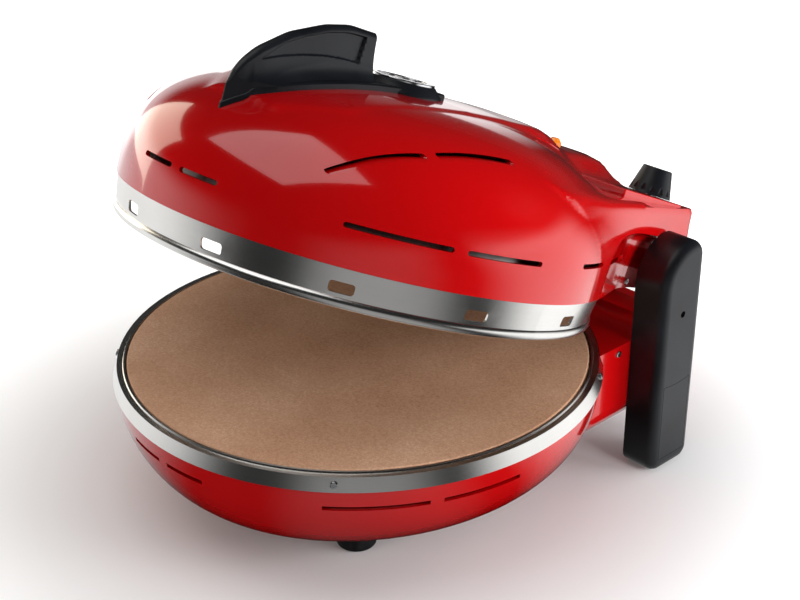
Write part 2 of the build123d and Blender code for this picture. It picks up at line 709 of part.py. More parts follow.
def dome_form(inset, bottom):
    """Dome of revolution whose profile is a superellipse above the waist."""
    radius = LID_R - inset
    height = LID_TOP - inset - LID_WAIST
    power = 2 / LID_POWER
    points = []
    for step in (0, 12, 24, 36, 48, 60, 72, 82, 90):
        turn = radians(step)
        points.append((radius * cos(turn) ** power if step < 90 else 0, LID_WAIST + height * sin(turn) ** power))
    with BuildPart() as form:
        with BuildSketch(section):
            with BuildLine():
                skin = Spline(*points, tangents=[(0, 1), (-1, 0)])
                Polyline(skin @ 1, (0, bottom), (radius, bottom), skin @ 0)
            make_face()
        revolve(axis=oven_axis)
    return form.part


def box_plan(height, half_widths, inset):
    """Outline of the rear box at one height, from (half width, distance back) pairs."""
    right = [(x - inset, y - inset) for x, y in half_widths]
    left = [(-x, y) for x, y in reversed(right)]
    with BuildSketch(rim.offset(height)) as outline:
        with BuildLine():
            Polyline(*right, *left, close=True)
        make_face()
    return outline.sketch


def box_form(inset, bottom):
    """Rear box of the lid: it leaves the dome in a taper and its sides lean out downwards."""
    waist = PIVOT_Y - 38
    top = ((LID_R - 25.2, 8), (LID_R - 35.2, 60), (LID_R - 38.7, 95), (ARM_X - ARM_ROOM - BOX_LEAN / 2, waist),
           (BOX_X, BOX_BACK))
    shoulder = ((LID_R - 8.2, 8), (LID_R - 19.2, 62), (LID_R - 29.7, 95), (ARM_X - ARM_ROOM, waist),
                (BOX_X + BOX_LEAN, BOX_BACK + BOX_LEAN / 2))
    with BuildPart() as form:
        add(box_plan(BOX_TOP - inset, top, inset))
        add(box_plan(BOX_SHOULDER, shoulder, inset))
        loft()
        add(box_plan(BOX_SHOULDER, shoulder, inset))
        extrude(amount=bottom - BOX_SHOULDER)
    return form.part


def spine_form(inset):
    """Spine from the crown to the back: a side profile with sloping flanks."""
    top = LID_TOP + 0.8 - inset
    with BuildPart() as form:
        with BuildSketch(side.offset(-REAR_X)):
            with BuildLine():
                crown = Spline((-30, top - 1), (20, top), (95, top - 1.8), (BOX_BACK - 79, top - 6.2),
                               (BOX_BACK - 53, top - 15.5), (BOX_BACK - 25, top - 18),
                               (BOX_BACK - inset, top - 19.5))
                Polyline(crown @ 1, (BOX_BACK - inset, BOX_TOP - 20), (-30, BOX_TOP - 20), crown @ 0)
            make_face()
        extrude(amount=2 * REAR_X)
        # flanks slope from the top's half width to the foot's
        with BuildSketch(section.offset(60)):
            with BuildLine():
                slope = (REAR_X - SPINE_X) / (LID_TOP - 18 - BOX_TOP)
                wide = REAR_X - inset
                Polyline((wide, BOX_TOP - inset), (wide - slope * 40, BOX_TOP - inset + 40), (200, BOX_TOP + 40),
                         (200, BOX_TOP - inset), close=True)
            make_face()
            mirror(about=Plane.YZ)
        extrude(amount=-300, mode=Mode.SUBTRACT)
    return form.part


def knob_wedge(inset):
    """Wedge on the box's right rear corner that the knob stands on; it falls to nothing at the back."""
    with BuildPart() as form:
        with BuildSketch(side.offset(PAD_X + inset)):
            with BuildLine():
                Polyline((PAD_FRONT + inset, BOX_TOP - 12), (PAD_FRONT + inset, BOX_TOP + PAD_RISE - inset),
                         (PAD_BACK, BOX_TOP - inset), (PAD_BACK, BOX_TOP - 12), close=True)
            make_face()
        extrude(amount=BOX_X - PAD_X - 2 * inset)
    return form.part


def recess_form(grow):
    """Room for the right arm in the lid's lower rear side; the wall starts tangent to the dome."""
    far = LID_R + 40
    with BuildPart() as form:
        with BuildSketch(rim.offset(LID_Z - 20)):
            with BuildLine():
                back = Line((RECESS_X - grow, BOX_BACK + 20), (RECESS_X - grow, RECESS_BACK))
                bend = JernArc(back @ 1, (0, -1), RECESS_BEND + grow, RECESS_TURN)
                lead = Line(bend @ 1, bend @ 1 + (bend % 1) * 92)
                Polyline(lead @ 1, (far, (lead @ 1).Y), (far, BOX_BACK + 20), back @ 0)
            make_face()
        extrude(amount=RECESS_TOP + grow - LID_Z + 20)
        top = form.faces().sort_by(Axis.Z)[-1]
        fillet(top.edges().sort_by(Axis.Y)[0], RECESS_ROUND)
    return form.part


def lid_form(inset, bottom):
    """Whole outer skin of the lid, pulled in by inset."""
    with BuildPart() as form:
        add(dome_form(inset, bottom))
        add(box_form(inset, bottom))
        add(spine_form(inset))
        add(knob_wedge(inset))
        recess = recess_form(inset)
        add(recess, mode=Mode.SUBTRACT)
        add(recess.mirror(Plane.YZ), mode=Mode.SUBTRACT)
    return form.part


def curved_slot(start, middle, end):
    """Cutter for a curved slot through the dome's flank, drawn as seen from the side."""
    with BuildPart() as cutter:
        with BuildSketch(side.offset(REACH_IN)):
            with BuildLine():
                ThreePointArc(start, middle, end)
            trace(line_width=SLOT_H)
        extrude(amount=LID_R)
    return cutter.part


with BuildPart() as lid_shell:
    add(lid_form(0, LID_Z))
    add(lid_form(WALL, LID_Z - 1), mode=Mode.SUBTRACT)
    add(slot_row(LID_SLOT_Z, LID_R - 2, SLOT_ARCS + (LID_BACK_SLOT,)), mode=Mode.SUBTRACT)
    add(slot_row(LID_SLOT_Z, LID_R + 4, (RECESS_SLOT,)), mode=Mode.SUBTRACT)
    for sweep_points in (FRONT_SWEEP, REAR_SWEEP):
        cutter = curved_slot(*sweep_points)
        add(cutter, mode=Mode.SUBTRACT)
        add(cutter.mirror(Plane.YZ), mode=Mode.SUBTRACT)
    # knob shaft, lamp, sight glass and hinge pins pass through the skin
    with BuildSketch(knob_plane.offset(-12)):
        Circle(SHAFT_R + 1)
    extrude(amount=20, mode=Mode.SUBTRACT)
    with BuildSketch(rim.offset(BOX_TOP - 5)):
        with Locations((0, LAMP_Y)):
            Circle(LAMP_STEM_R + FIT)
    extrude(amount=20, mode=Mode.SUBTRACT)
    with BuildSketch(rim.offset(LID_TOP - 10)):
        with Locations((0, POD_Y)):
            Circle(SIGHT_R)
    extrude(amount=20, mode=Mode.SUBTRACT)
    with BuildSketch(side):
        with Locations((PIVOT_Y, PIVOT_Z)):
            Circle(PIN_R + 1)
    extrude(amount=BOX_X, both=True, mode=Mode.SUBTRACT)
    add(wall_screw_way(), mode=Mode.SUBTRACT)
    add(wall_screw_way().mirror(Plane.YZ), mode=Mode.SUBTRACT)
save_lid(lid_shell, "lid_shell")

with BuildPart() as lid_skirt:
    with BuildSketch(section):
        with BuildLine():
            tuck = LID_R - WALL - 4 * FIT
            Polyline((SHELF_R, SHELF_Z), (tuck, SHELF_Z), (tuck, LID_Z - FIT), (SKIRT_TOP_R, LID_Z - FIT),
                     (SKIRT_FOLD_R, SKIRT_FOLD_Z))
            ThreePointArc((SKIRT_FOLD_R, SKIRT_FOLD_Z), (SKIRT_FOLD_R + 1.6, SKIRT_FOLD_Z - 3),
                          (SKIRT_LIP_R, SKIRT_LIP_Z - 1.5))
            Polyline((SKIRT_LIP_R, SKIRT_LIP_Z - 1.5), (SKIRT_LIP_R - 1.6, SKIRT_LIP_Z - 1.5),
                     (SKIRT_LIP_R - 1.6, SKIRT_FOLD_Z + 0.4), (SKIRT_TOP_R - STEEL_T, LID_Z - FIT - STEEL_T),
                     (tuck - STEEL_T, LID_Z - FIT - STEEL_T), (tuck - STEEL_T, SHELF_Z - STEEL_T),
                     (SHELF_R, SHELF_Z - STEEL_T), (SHELF_R, SHELF_Z))
        make_face()
    revolve(axis=oven_axis)
    with BuildSketch(section.offset(SKIRT_TOP_R - 10)):
        with Locations((0, VENT_Z)):
            RectangleRounded(VENT_W, VENT_H, 2)
    vent = extrude(amount=20, mode=Mode.PRIVATE)
    for sign in (-1, 1):
        for place in range(4):
            turn = sign * (VENT_FIRST + place * VENT_STEP)
            add(vent.rotate(oven_axis, turn), mode=Mode.SUBTRACT)
save_lid(lid_skirt, "lid_skirt_ring")

with BuildPart() as reflector:
    with BuildSketch(section):
        with BuildLine():
            rise = REFLECTOR_TOP - SHELF_Z
            Polyline((tuck - STEEL_T - FIT, SHELF_Z), (REFLECTOR_R, SHELF_Z), (REFLECTOR_R - rise / 3, REFLECTOR_TOP),
                     (SIGHT_R, REFLECTOR_TOP), (SIGHT_R, REFLECTOR_TOP + REFLECTOR_T),
                     (REFLECTOR_R - rise / 3 + 0.5, REFLECTOR_TOP + REFLECTOR_T),
                     (REFLECTOR_R + 0.6, SHELF_Z + REFLECTOR_T), (tuck - STEEL_T - FIT, SHELF_Z + REFLECTOR_T),
                     close=True)
        make_face()
    revolve(axis=oven_axis)
    with BuildSketch(section.offset(-HEATER_R)):
        with Locations((-HEATER_GAP / 2, UPPER_HEATER_Z), (HEATER_GAP / 2, UPPER_HEATER_Z)):
            Circle(ROD_R + FIT)
    extrude(amount=HEATER_R - LID_R, mode=Mode.SUBTRACT)
save_lid(reflector, "upper_reflector")

with BuildPart() as upper_heater:
    add(heater(UPPER_HEATER_Z, UPPER_LEG))
save_lid(upper_heater, "upper_heater")

with BuildPart() as upper_clips:
    add(heater_clips(UPPER_HEATER_Z, REFLECTOR_TOP - UPPER_HEATER_Z))
save_lid(upper_clips, "upper_heater_clips")

with BuildPart() as neck_cover:
    with BuildSketch(rim.offset(LID_Z)):
        with Locations((0, BOX_BACK - WALL - FIT - COVER_REACH / 2)):
            Rectangle(2 * (RECESS_X - WALL - BRACKET_T - PIN_HEAD_T - 2 * FIT), COVER_REACH)
        Circle(LID_R + FIT, mode=Mode.SUBTRACT)
    extrude(amount=WALL)
save_lid(neck_cover, "lid_neck_cover")

with BuildPart() as upper_block:
    add(terminal_block(UPPER_HEATER_Z, UPPER_LEG, LID_Z + WALL))
save_lid(upper_block, "upper_terminal_block")

with BuildPart() as right_plate:
    add(lid_hinge_plate())
save_lid(right_plate, "right_lid_hinge_plate")
with BuildPart() as left_plate:
    add(lid_hinge_plate().mirror(Plane.YZ))
save_lid(left_plate, "left_lid_hinge_plate")


# ---------------------------------------------------------------- handle with the sight glass (lid shut)
def fin_outline():
    """Side view of the handle's fin: a rising crest and an upright rear end over a root inside the foot."""
    with BuildSketch() as outline:
        with BuildLine():
            crest = Spline((GRIP_TIP, 97), (-137, 119), (-103, GRIP_HEIGHT - 12), (-60, GRIP_HEIGHT),
                           (GRIP_END, GRIP_HEIGHT - 2.5), tangents=[(-0.1, 1), (1, -0.25)])
            places = (GRIP_END - 3, -75, -115, GRIP_TIP)
            root = Spline(*[(place, dome_height(-place, -GRIP_FOOT_T / 2)) for place in places])
            Line(crest @ 1, root @ 0)
            Line(root @ 1, crest @ 0)
        make_face()
    return outline.sketch


def fin_panel():
    """Recessed panel in the fin's side: two arcs that meet in a point, and a sloping rear end."""
    high = GRIP_HEIGHT - GRIP_BORDER
    tip = (GRIP_TIP + 2 * GRIP_BORDER, high - 24)
    low_end = (GRIP_END - 1.6 * GRIP_BORDER, high - 14)
    with BuildSketch() as outline:
        with BuildLine():
            crest = ThreePointArc(tip, (GRIP_TIP + 67, high), (GRIP_END - 1.2 * GRIP_BORDER, high + 1.5))
            Line(crest @ 1, low_end)
            ThreePointArc(low_end, (GRIP_TIP + 49, high - 16), tip)
        make_face()
    return outline.sketch


# foot: a pointed strip that lies on the crown
with BuildPart() as grip_foot:
    with BuildSketch(rim.offset(LID_WAIST)):
        with BuildLine():
            right_edge = Spline((0, GRIP_TIP), (GRIP_FOOT_X, -70), (GRIP_FOOT_X, GRIP_BACK),
                                tangents=[(0.45, 1), (0, 1)])
            Line((GRIP_FOOT_X, GRIP_BACK), (0, GRIP_BACK))
            Line((0, GRIP_BACK), (0, GRIP_TIP))
        make_face()
        mirror(about=Plane.YZ)
    extrude(amount=LID_TOP)
    add(dome_form(-GRIP_FOOT_T, LID_Z), mode=Mode.INTERSECT)
    add(lid_form(0, LID_Z), mode=Mode.SUBTRACT)

# fin with its recessed side panels
with BuildPart() as grip_fin:
    with BuildSketch(side.offset(-GRIP_X)):
        add(fin_outline())
    extrude(amount=2 * GRIP_X)
    fillet(grip_fin.edges().filter_by(GeomType.BSPLINE).sort_by(Axis.Z)[-2:], GRIP_X - GRIP_EDGE)
    for face in (side.offset(GRIP_X - GRIP_POCKET), side.offset(-GRIP_X)):
        with BuildSketch(face):
            add(fin_panel())
        extrude(amount=GRIP_POCKET, mode=Mode.SUBTRACT)

# round pod that carries the sight glass
with BuildPart() as grip_pod:
    with BuildSketch(side):
        with BuildLine():
            Polyline((POD_Y, LID_TOP - 6), (POD_Y + POD_R, LID_TOP - 6), (POD_Y + POD_R, LID_TOP + 1),
                     (POD_Y + POD_TOP_R, POD_TOP), (POD_Y, POD_TOP), close=True)
        make_face()
    revolve(axis=pod_axis)
    add(dome_form(-GRIP_FOOT_T / 2, LID_Z), mode=Mode.SUBTRACT)

with BuildPart() as handle:
    add(grip_foot.part)
    add(grip_pod.part)
    add(grip_fin.part)
    # seat of the glass, and the way for the eye
    with BuildSketch(rim.offset(POD_TOP)):
        with Locations((0, POD_Y)):
            Circle(GLASS_R + FIT)
    extrude(amount=-(GLASS_T + BEZEL_T), mode=Mode.SUBTRACT)
    with BuildSketch(rim.offset(POD_TOP)):
        with Locations((0, POD_Y)):
            Circle(SIGHT_R)
    extrude(amount=LID_TOP - POD_TOP - GRIP_FOOT_T, mode=Mode.SUBTRACT)
save_lid(handle, "handle")

with BuildPart() as sight_glass:
    with BuildSketch(rim.offset(POD_TOP - BEZEL_T)):
        with Locations((0, POD_Y)):
            Circle(GLASS_R)
    extrude(amount=-GLASS_T)
save_lid(sight_glass, "sight_glass")

with BuildPart() as bezel:
    with BuildSketch(rim.offset(POD_TOP)):
        with Locations((0, POD_Y)):
            Circle(BEZEL_R)
            Circle(BEZEL_BORE, mode=Mode.SUBTRACT)
    extrude(amount=BEZEL_T)
    with BuildSketch(rim.offset(POD_TOP)):
        with Locations((0, POD_Y)):
            Circle(GLASS_R)
            Circle(BEZEL_BORE, mode=Mode.SUBTRACT)
    extrude(amount=-BEZEL_T)
    fillet(bezel.edges().group_by(Axis.Z)[-1], 0.7)
save_lid(bezel, "sight_glass_bezel")


# ---------------------------------------------------------------- lamp, thermostat and knob (lid shut)
with BuildPart() as lamp_lens:
    with BuildSketch(lamp_plane):
        RegularPolygon(LAMP_R, 12)
    extrude(amount=2)
    with BuildSketch(lamp_plane.offset(2)):
        RegularPolygon(LAMP_R, 12)
    extrude(amount=3.2, taper=38)
save_lid(lamp_lens, "indicator_lens")

with BuildPart() as lamp_holder:
    with BuildSketch(lamp_plane):
        Circle(LAMP_STEM_R)
    extrude(amount=-18)
    with BuildSketch(lamp_plane.offset(-WALL - 6)):
        Circle(LAMP_STEM_R + 2)
    extrude(amount=-8)
save_lid(lamp_holder, "indicator_lamp")

with BuildPart() as thermostat:
    with BuildSketch(knob_plane.offset(-THERMOSTAT_DROP)):
        Rectangle(THERMOSTAT_W, THERMOSTAT_D)
    extrude(amount=-THERMOSTAT_H)
    with BuildSketch(knob_plane.offset(-THERMOSTAT_H)):
        Circle(SHAFT_R + SHAFT_RUN)
    extrude(amount=THERMOSTAT_H, mode=Mode.SUBTRACT)
save_lid(thermostat, "thermostat")

with BuildPart() as shaft:
    with BuildSketch(knob_plane.offset(-THERMOSTAT_H + FIT)):
        Circle(SHAFT_R)
    extrude(amount=THERMOSTAT_H - FIT + SHAFT_LENGTH)
save_lid(shaft, "knob_shaft")

with BuildPart() as knob:
    with BuildSketch(knob_plane.offset(KNOB_LIFT)):
        Circle(KNOB_R)
    with BuildSketch(knob_plane.offset(KNOB_H)):
        Circle(KNOB_TOP_R)
    loft()
    fillet(knob.edges().filter_by(GeomType.CIRCLE).sort_by(Axis.Z)[-1], 1.2)
    # grooves between the ribs
    with BuildSketch(knob_plane.offset(KNOB_LIFT + 2)):
        with PolarLocations(KNOB_R + 0.6, KNOB_RIBS):
            Circle(2.4)
    extrude(amount=KNOB_H, mode=Mode.SUBTRACT)
    with BuildSketch(knob_plane):
        Circle(SHAFT_R + 0.02)
    extrude(amount=SHAFT_LENGTH + FIT, mode=Mode.SUBTRACT)
save_lid(knob, "thermostat_knob")


# ---------------------------------------------------------------- fasteners
def screw(head_r, shank_l):
    """Pan-head screw along +Z, its head's underside on z = 0, with a cross recess."""
    with BuildPart() as fastener:
        with BuildSketch():
            Circle(head_r)
        extrude(amount=SCREW_HEAD_T)
        fillet(fastener.edges().group_by(Axis.Z)[-1], SCREW_HEAD_T / 2)
        with BuildSketch(Plane.XY.offset(SCREW_HEAD_T)):
            Rectangle(head_r, CROSS_W)
            Rectangle(CROSS_W, head_r)
        extrude(amount=-SCREW_HEAD_T / 2, mode=Mode.SUBTRACT)
        with BuildSketch():
            Circle(SCREW_SHANK_R)
        extrude(amount=-shank_l)
    return fastener.part


with BuildPart() as rim_screws:
    for seat in band_planes():
        add(seat * screw(SCREW_R, RIM_SCREW_L))
save(rim_screws, "rim_screws")

with BuildPart() as neck_screws:
    seat = Plane((NECK_X, STONE_Y + NECK_SCREW_Y, RIM_Z + NECK_SCREW_Z), x_dir=(0, 1, 0), z_dir=(1, 0, 0))
    add(seat * screw(SCREW_R, WALL))
    mirror(about=Plane.YZ)
save(neck_screws, "neck_screws")

with BuildPart() as lid_screws:
    add(wall_screw_plane.offset(SCREW_RUN) * screw(SCREW_R, 2 * WALL + BRACKET_T))
    mirror(about=Plane.YZ)
save_lid(lid_screws, "lid_wall_screws")

with BuildPart() as arm_screws:
    head_x = ARM_X + ARM_W - PANEL_T - 1
    seat = Plane((head_x, STONE_Y + ARM_SCREW_Y, RIM_Z + ARM_SCREW_Z), x_dir=(0, 1, 0), z_dir=(1, 0, 0))
    add(seat * screw(SCREW_R - SCREW_RUN, head_x - NECK_X))
    mirror(about=Plane.YZ)
save(arm_screws, "arm_screws")

with BuildPart() as cover_screws:
    for spot in cover_screw_spots():
        seat = Plane((spot[0], STONE_Y + spot[1], RIM_Z + BOWL_TOP - BOWL_DEPTH - COVER_T),
                     x_dir=(1, 0, 0), z_dir=(0, 0, -1))
        add(seat * screw(SCREW_R, COVER_T + WALL))
save(cover_screws, "bottom_cover_screws")
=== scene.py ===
"""Countertop pizza oven with a hinged domed lid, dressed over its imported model.

Metres, +Z up, the lid opens at the front (-Y). Shapes of the lid are worked out shut, in millimetres from
the middle of the base's steel rim, and are then swung up to the angle the model rests at.
"""
import json
import math

import bmesh
import bpy
import numpy as np
from mathutils import Matrix, Vector


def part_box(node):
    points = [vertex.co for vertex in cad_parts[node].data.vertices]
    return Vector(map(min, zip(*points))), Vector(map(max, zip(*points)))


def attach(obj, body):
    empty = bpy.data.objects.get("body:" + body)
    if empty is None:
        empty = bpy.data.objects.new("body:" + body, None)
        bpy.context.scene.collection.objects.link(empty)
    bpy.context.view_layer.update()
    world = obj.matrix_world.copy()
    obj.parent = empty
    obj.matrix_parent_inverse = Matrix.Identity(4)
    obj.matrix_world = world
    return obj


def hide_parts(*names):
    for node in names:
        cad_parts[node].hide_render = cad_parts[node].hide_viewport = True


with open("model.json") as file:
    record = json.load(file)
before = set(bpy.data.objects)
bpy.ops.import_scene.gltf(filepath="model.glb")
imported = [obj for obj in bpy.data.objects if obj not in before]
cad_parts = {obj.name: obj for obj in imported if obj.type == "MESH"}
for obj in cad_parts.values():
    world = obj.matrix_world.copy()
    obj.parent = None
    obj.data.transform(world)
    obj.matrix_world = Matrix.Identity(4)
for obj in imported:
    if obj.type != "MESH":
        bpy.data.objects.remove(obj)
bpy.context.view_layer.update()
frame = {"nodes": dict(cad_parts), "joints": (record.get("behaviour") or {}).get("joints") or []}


# ---------------------------------------------------------------- studio
# A pale floor that runs out of sight under a white sky, one broad soft box overhead, one at the left that
# shows in the dome's front, and one behind the right shoulder. The camera stands in front on the right.
class Socket:
    """One output in a node tree. Arithmetic on it adds Math nodes."""

    def __init__(self, tree, link):
        self.tree, self.link = tree, link

    def node(self, kind, settings, inputs, output=0):
        """Adds a node of a kind: first its settings, then the values or links of its inputs."""
        made = self.tree.nodes.new(kind)
        for name, value in settings.items():
            if name == "stops":
                for place, (at, colour) in enumerate(value):
                    elements = made.color_ramp.elements
                    stop = elements[place] if place < 2 else elements.new(at)
                    stop.position, stop.color = at, (*colour, 1)
            else:
                setattr(made, name, value)
        for name, value in inputs.items():
            if isinstance(value, Socket):
                self.tree.links.new(value.link, made.inputs[name])
            else:
                made.inputs[name].default_value = value
        return Socket(self.tree, made.outputs[output])

    def math(self, operation, first, second=0.0):
        return self.node("ShaderNodeMath", {"operation": operation}, {0: first, 1: second})

    def __add__(self, other):
        return self.math("ADD", self, other)

    def __mul__(self, other):
        return self.math("MULTIPLY", self, other)

    def __sub__(self, other):
        return self.math("SUBTRACT", self, other)

    def __rsub__(self, other):
        return self.math("SUBTRACT", other, self)

    __radd__ = __add__
    __rmul__ = __mul__

    def above(self, edge):
        return self.math("GREATER_THAN", self, edge)

    def noise(self, scale, detail=2.0, roughness=0.5):
        """Noise of this vector, 0 to 1, about 0.5 in the middle."""
        return self.node("ShaderNodeTexNoise", {}, {"Vector": self, "Scale": scale, "Detail": detail,
                                                    "Roughness": roughness})

    def ramp(self, *stops):
        """Colours in order of this value, from (place, colour) stops."""
        return self.node("ShaderNodeValToRGB", {"stops": stops}, {0: self})


def node_tree(owner):
    """Emptied node tree of a material or world, with its output node."""
    owner.use_nodes = True
    owner.node_tree.nodes.clear()
    kind = "ShaderNodeOutputWorld" if isinstance(owner, bpy.types.World) else "ShaderNodeOutputMaterial"
    return owner.node_tree, owner.node_tree.nodes.new(kind)


def ray_kinds(tree):
    """1 or 0 for rays from the eye or through glass, and for those that mirrors send out."""
    eye = Socket(tree, None).node("ShaderNodeLightPath", {}, {}, "Is Camera Ray")
    kinds = eye.link.node.outputs
    return (eye + Socket(tree, kinds["Is Transmission Ray"])).above(0.5), Socket(tree, kinds["Is Glossy Ray"])


def eased_share(value, start, end):
    """0 at one value, 1 at another, eased at both ends."""
    return value.node("ShaderNodeMapRange", {"interpolation_type": "SMOOTHSTEP"},
                      {"Value": value, "From Min": start, "From Max": end})


# bearings from the front towards +X, half widths in degrees and strengths of what mirrors see round the oven
ROOM = ((-75.0, 70.0, 0.95), (134.0, 43.0, 1.2), (50.0, 35.0, 0.31))
ROOM_DARK = 0.02


def mirrored_room(way):
    """Brightness of the room that mirrors see along a level bearing: bright walls with dark ones between."""
    level = way.node("ShaderNodeVectorMath", {"operation": "MULTIPLY"}, {0: way, 1: (1, 1, 0)})
    level = way.node("ShaderNodeVectorMath", {"operation": "NORMALIZE"}, {0: level})
    bright = ROOM_DARK
    for bearing, half, strength in ROOM:
        turned = math.radians(bearing)
        facing = way.node("ShaderNodeVectorMath", {"operation": "DOT_PRODUCT"},
                          {0: level, 1: (math.sin(turned), -math.cos(turned), 0.0)}, "Value")
        bright = bright + eased_share(facing, math.cos(math.radians(half)), math.cos(math.radians(half / 4))) * strength
    return bright


def painted_far_floor(way, away):
    """Painted light that mirrors see on the floor a long way behind on the left, standing in for the lit floor there.
    """
    bearing = math.radians(-120.0)
    level = way.node("ShaderNodeVectorMath", {"operation": "NORMALIZE"}, {0: way})
    facing = way.node("ShaderNodeVectorMath", {"operation": "DOT_PRODUCT"},
                      {0: level, 1: (math.sin(bearing), -math.cos(bearing), 0.0)}, "Value")
    return eased_share(facing, 0.865, 0.94) * eased_share(away, 0.6, 1.6) * 1.05


world = bpy.context.scene.world or bpy.data.worlds.new("sky")
bpy.context.scene.world = world
tree, output = node_tree(world)
SKY_LIGHT = 0.20
to_eye, to_mirror = ray_kinds(tree)
way = to_eye.node("ShaderNodeTexCoord", {}, {}, "Generated")
height = way.node("ShaderNodeVectorMath", {"operation": "DOT_PRODUCT"}, {0: way, 1: (0, 0, 1)}, "Value")
mirrored = mirrored_room(way) * eased_share(height, 0.26, 0.04) + 0.015
strength = to_eye + (1 - to_eye) * (to_mirror * mirrored + (1 - to_mirror) * SKY_LIGHT)
sky = way.node("ShaderNodeBackground", {}, {"Color": (1, 1, 1, 1), "Strength": strength})
tree.links.new(sky.link, output.inputs["Surface"])

floor_material = bpy.data.materials.new("floor_paper")
tree, output = node_tree(floor_material)
to_eye, to_mirror = ray_kinds(tree)
spot = to_eye.node("ShaderNodeTexCoord", {}, {}, "Object")
away = spot.node("ShaderNodeVectorMath", {"operation": "LENGTH"}, {0: spot}, "Value")
paper = spot.node("ShaderNodeBsdfDiffuse", {}, {"Color": (0.72, 0.72, 0.72, 1)})
# painted light and shade: camera rays see the paper with an added glow that fades out near the oven, so the floor round
# it is painted darker, on top of the real shadows
painted_glow = spot.node("ShaderNodeEmission", {}, {"Color": eased_share(away, 0.14, 0.50) * 0.90 + 0.04})
lit = spot.node("ShaderNodeAddShader", {}, {0: paper, 1: painted_glow})
seen = spot.node("ShaderNodeMixShader", {}, {0: to_eye, 1: paper, 2: lit})
# painted reflection and shade: mirrors see the floor as an emission, bright by bearing and far behind on the left, and
# painted dark near the oven where its shade would fall
painted_floor_reflection = spot.node("ShaderNodeEmission", {}, {
    "Color": mirrored_room(spot) * eased_share(away, 0.10, 0.32) + painted_far_floor(spot, away)})
both = spot.node("ShaderNodeMixShader", {}, {0: to_mirror, 1: seen, 2: painted_floor_reflection})
tree.links.new(both.link, output.inputs["Surface"])

FLOOR_HALF = 12.0
floor_mesh = bpy.data.meshes.new("floor")
floor_mesh.from_pydata([(x, y, 0) for x, y in ((-FLOOR_HALF, -FLOOR_HALF), (FLOOR_HALF, -FLOOR_HALF),
                                              (FLOOR_HALF, FLOOR_HALF), (-FLOOR_HALF, FLOOR_HALF))],
                       [], [(0, 1, 2, 3)])
floor_mesh.materials.append(floor_material)
floor = bpy.data.objects.new("floor", floor_mesh)
bpy.context.scene.collection.objects.link(floor)


def soft_box(name, place, target, width, height, power, colour=(1, 1, 1), mirrored=True):
    """Rectangular area light that looks from its place at a target; mirrors may leave it out."""
    light = bpy.data.lights.new(name, "AREA")
    light.shape, light.size, light.size_y, light.energy = "RECTANGLE", width, height, power
    light.color = colour
    box = bpy.data.objects.new(name, light)
    box.location = place
    box.visible_glossy = mirrored
    box.rotation_euler = (Vector(target) - Vector(place)).to_track_quat("-Z", "Y").to_euler()
    bpy.context.scene.collection.objects.link(box)


MIDDLE = (0.0, 0.0, 0.15)
soft_box("overhead_box", (-0.25, -0.5, 1.9), MIDDLE, 1.7, 1.5, 11.5)
soft_box("left_box", (-1.55, -0.25, 0.62), MIDDLE, 1.0, 0.95, 6.5, (1.0, 0.90, 0.74))
soft_box("rear_box", (0.75, 1.6, 0.95), MIDDLE, 1.0, 0.7, 7, mirrored=False)
soft_box("side_fill", (1.4, 1.0, 0.46), MIDDLE, 0.8, 0.6, 20, (0.97, 0.98, 1.0), mirrored=False)
soft_box("front_fill", (-0.6, -1.6, 0.42), MIDDLE, 1.0, 0.5, 9, (1.0, 0.97, 0.93), mirrored=False)
soft_box("hinge_kicker", (0.75, 0.12, 0.34), (0.13, 0.08, 0.12), 0.25, 0.25, 2.4, mirrored=False)

RIGHT = Vector((0.68480537, 0.72872121, -0.00264785))
UP = Vector((-0.32200783, 0.30585783, 0.89596983))
BACK = RIGHT.cross(UP)
camera_data = bpy.data.cameras.new("camera")
camera_data.sensor_width = 36.0
camera_data.lens = 67.13
camera = bpy.data.objects.new("camera", camera_data)
camera.matrix_world = Matrix.Translation((0.68977, -0.63241, 0.59182)) @ Matrix((RIGHT, UP, BACK)).transposed().to_4x4()
bpy.context.scene.collection.objects.link(camera)
bpy.context.scene.camera = camera
bpy.context.scene.view_settings.view_transform = "Standard"


# ---------------------------------------------------------------- the model's own places
# The hinge joint gives the pivot and the lid's rest angle; the steel rim gives the middle and its height.
hinge = next(joint for joint in frame["joints"] if joint["name"] == "lid_hinge")
pivot = np.array(hinge["pos_m"])
rest_angle = math.radians(-hinge["range_deg"][0])
rim_low, rim_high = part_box("base_trim_ring")
RIM_BEAD = 0.001
rim_middle = np.array([0.0, (rim_low.y + rim_high.y) / 2, rim_high.z - RIM_BEAD])
MM = 0.001


def in_frame(points):
    """Millimetres from the rim's middle to metres in the model's frame."""
    return points * MM + rim_middle


def swung(points):
    """Shut places in the frame to rest: a turn about the hinge line that lifts the front."""
    y, z = points[..., 1] - pivot[1], points[..., 2] - pivot[2]
    turned = points.copy()
    turned[..., 1] = pivot[1] + y * math.cos(rest_angle) + z * math.sin(rest_angle)
    turned[..., 2] = pivot[2] - y * math.sin(rest_angle) + z * math.cos(rest_angle)
    return turned


def mesh_of(name, points, faces):
    """New mesh from an array of corners and an array of four-cornered faces."""
    mesh = bpy.data.meshes.new(name)
    mesh.from_pydata(np.reshape(points, (-1, 3)).tolist(), [], np.reshape(faces, (-1, 4)).tolist())
    mesh.validate()
    return mesh


def grid_faces(rows, columns, first=0):
    """Faces of a grid of points whose columns close on themselves."""
    row, column = np.meshgrid(np.arange(rows - 1), np.arange(columns), indexing="ij")
    a = first + row * columns + column
    b = first + row * columns + (column + 1) % columns
    return np.stack([a, b, b + columns, a + columns], axis=-1).reshape(-1, 4)


def ring_faces(rows, columns):
    """Faces of a grid of points that closes on itself both ways."""
    row, column = np.meshgrid(np.arange(rows), np.arange(columns), indexing="ij")
    after_row, after_column = (row + 1) % rows * columns, (column + 1) % columns
    return np.stack([row * columns + column, row * columns + after_column, after_row + after_column,
                     after_row + column], axis=-1).reshape(-1, 4)


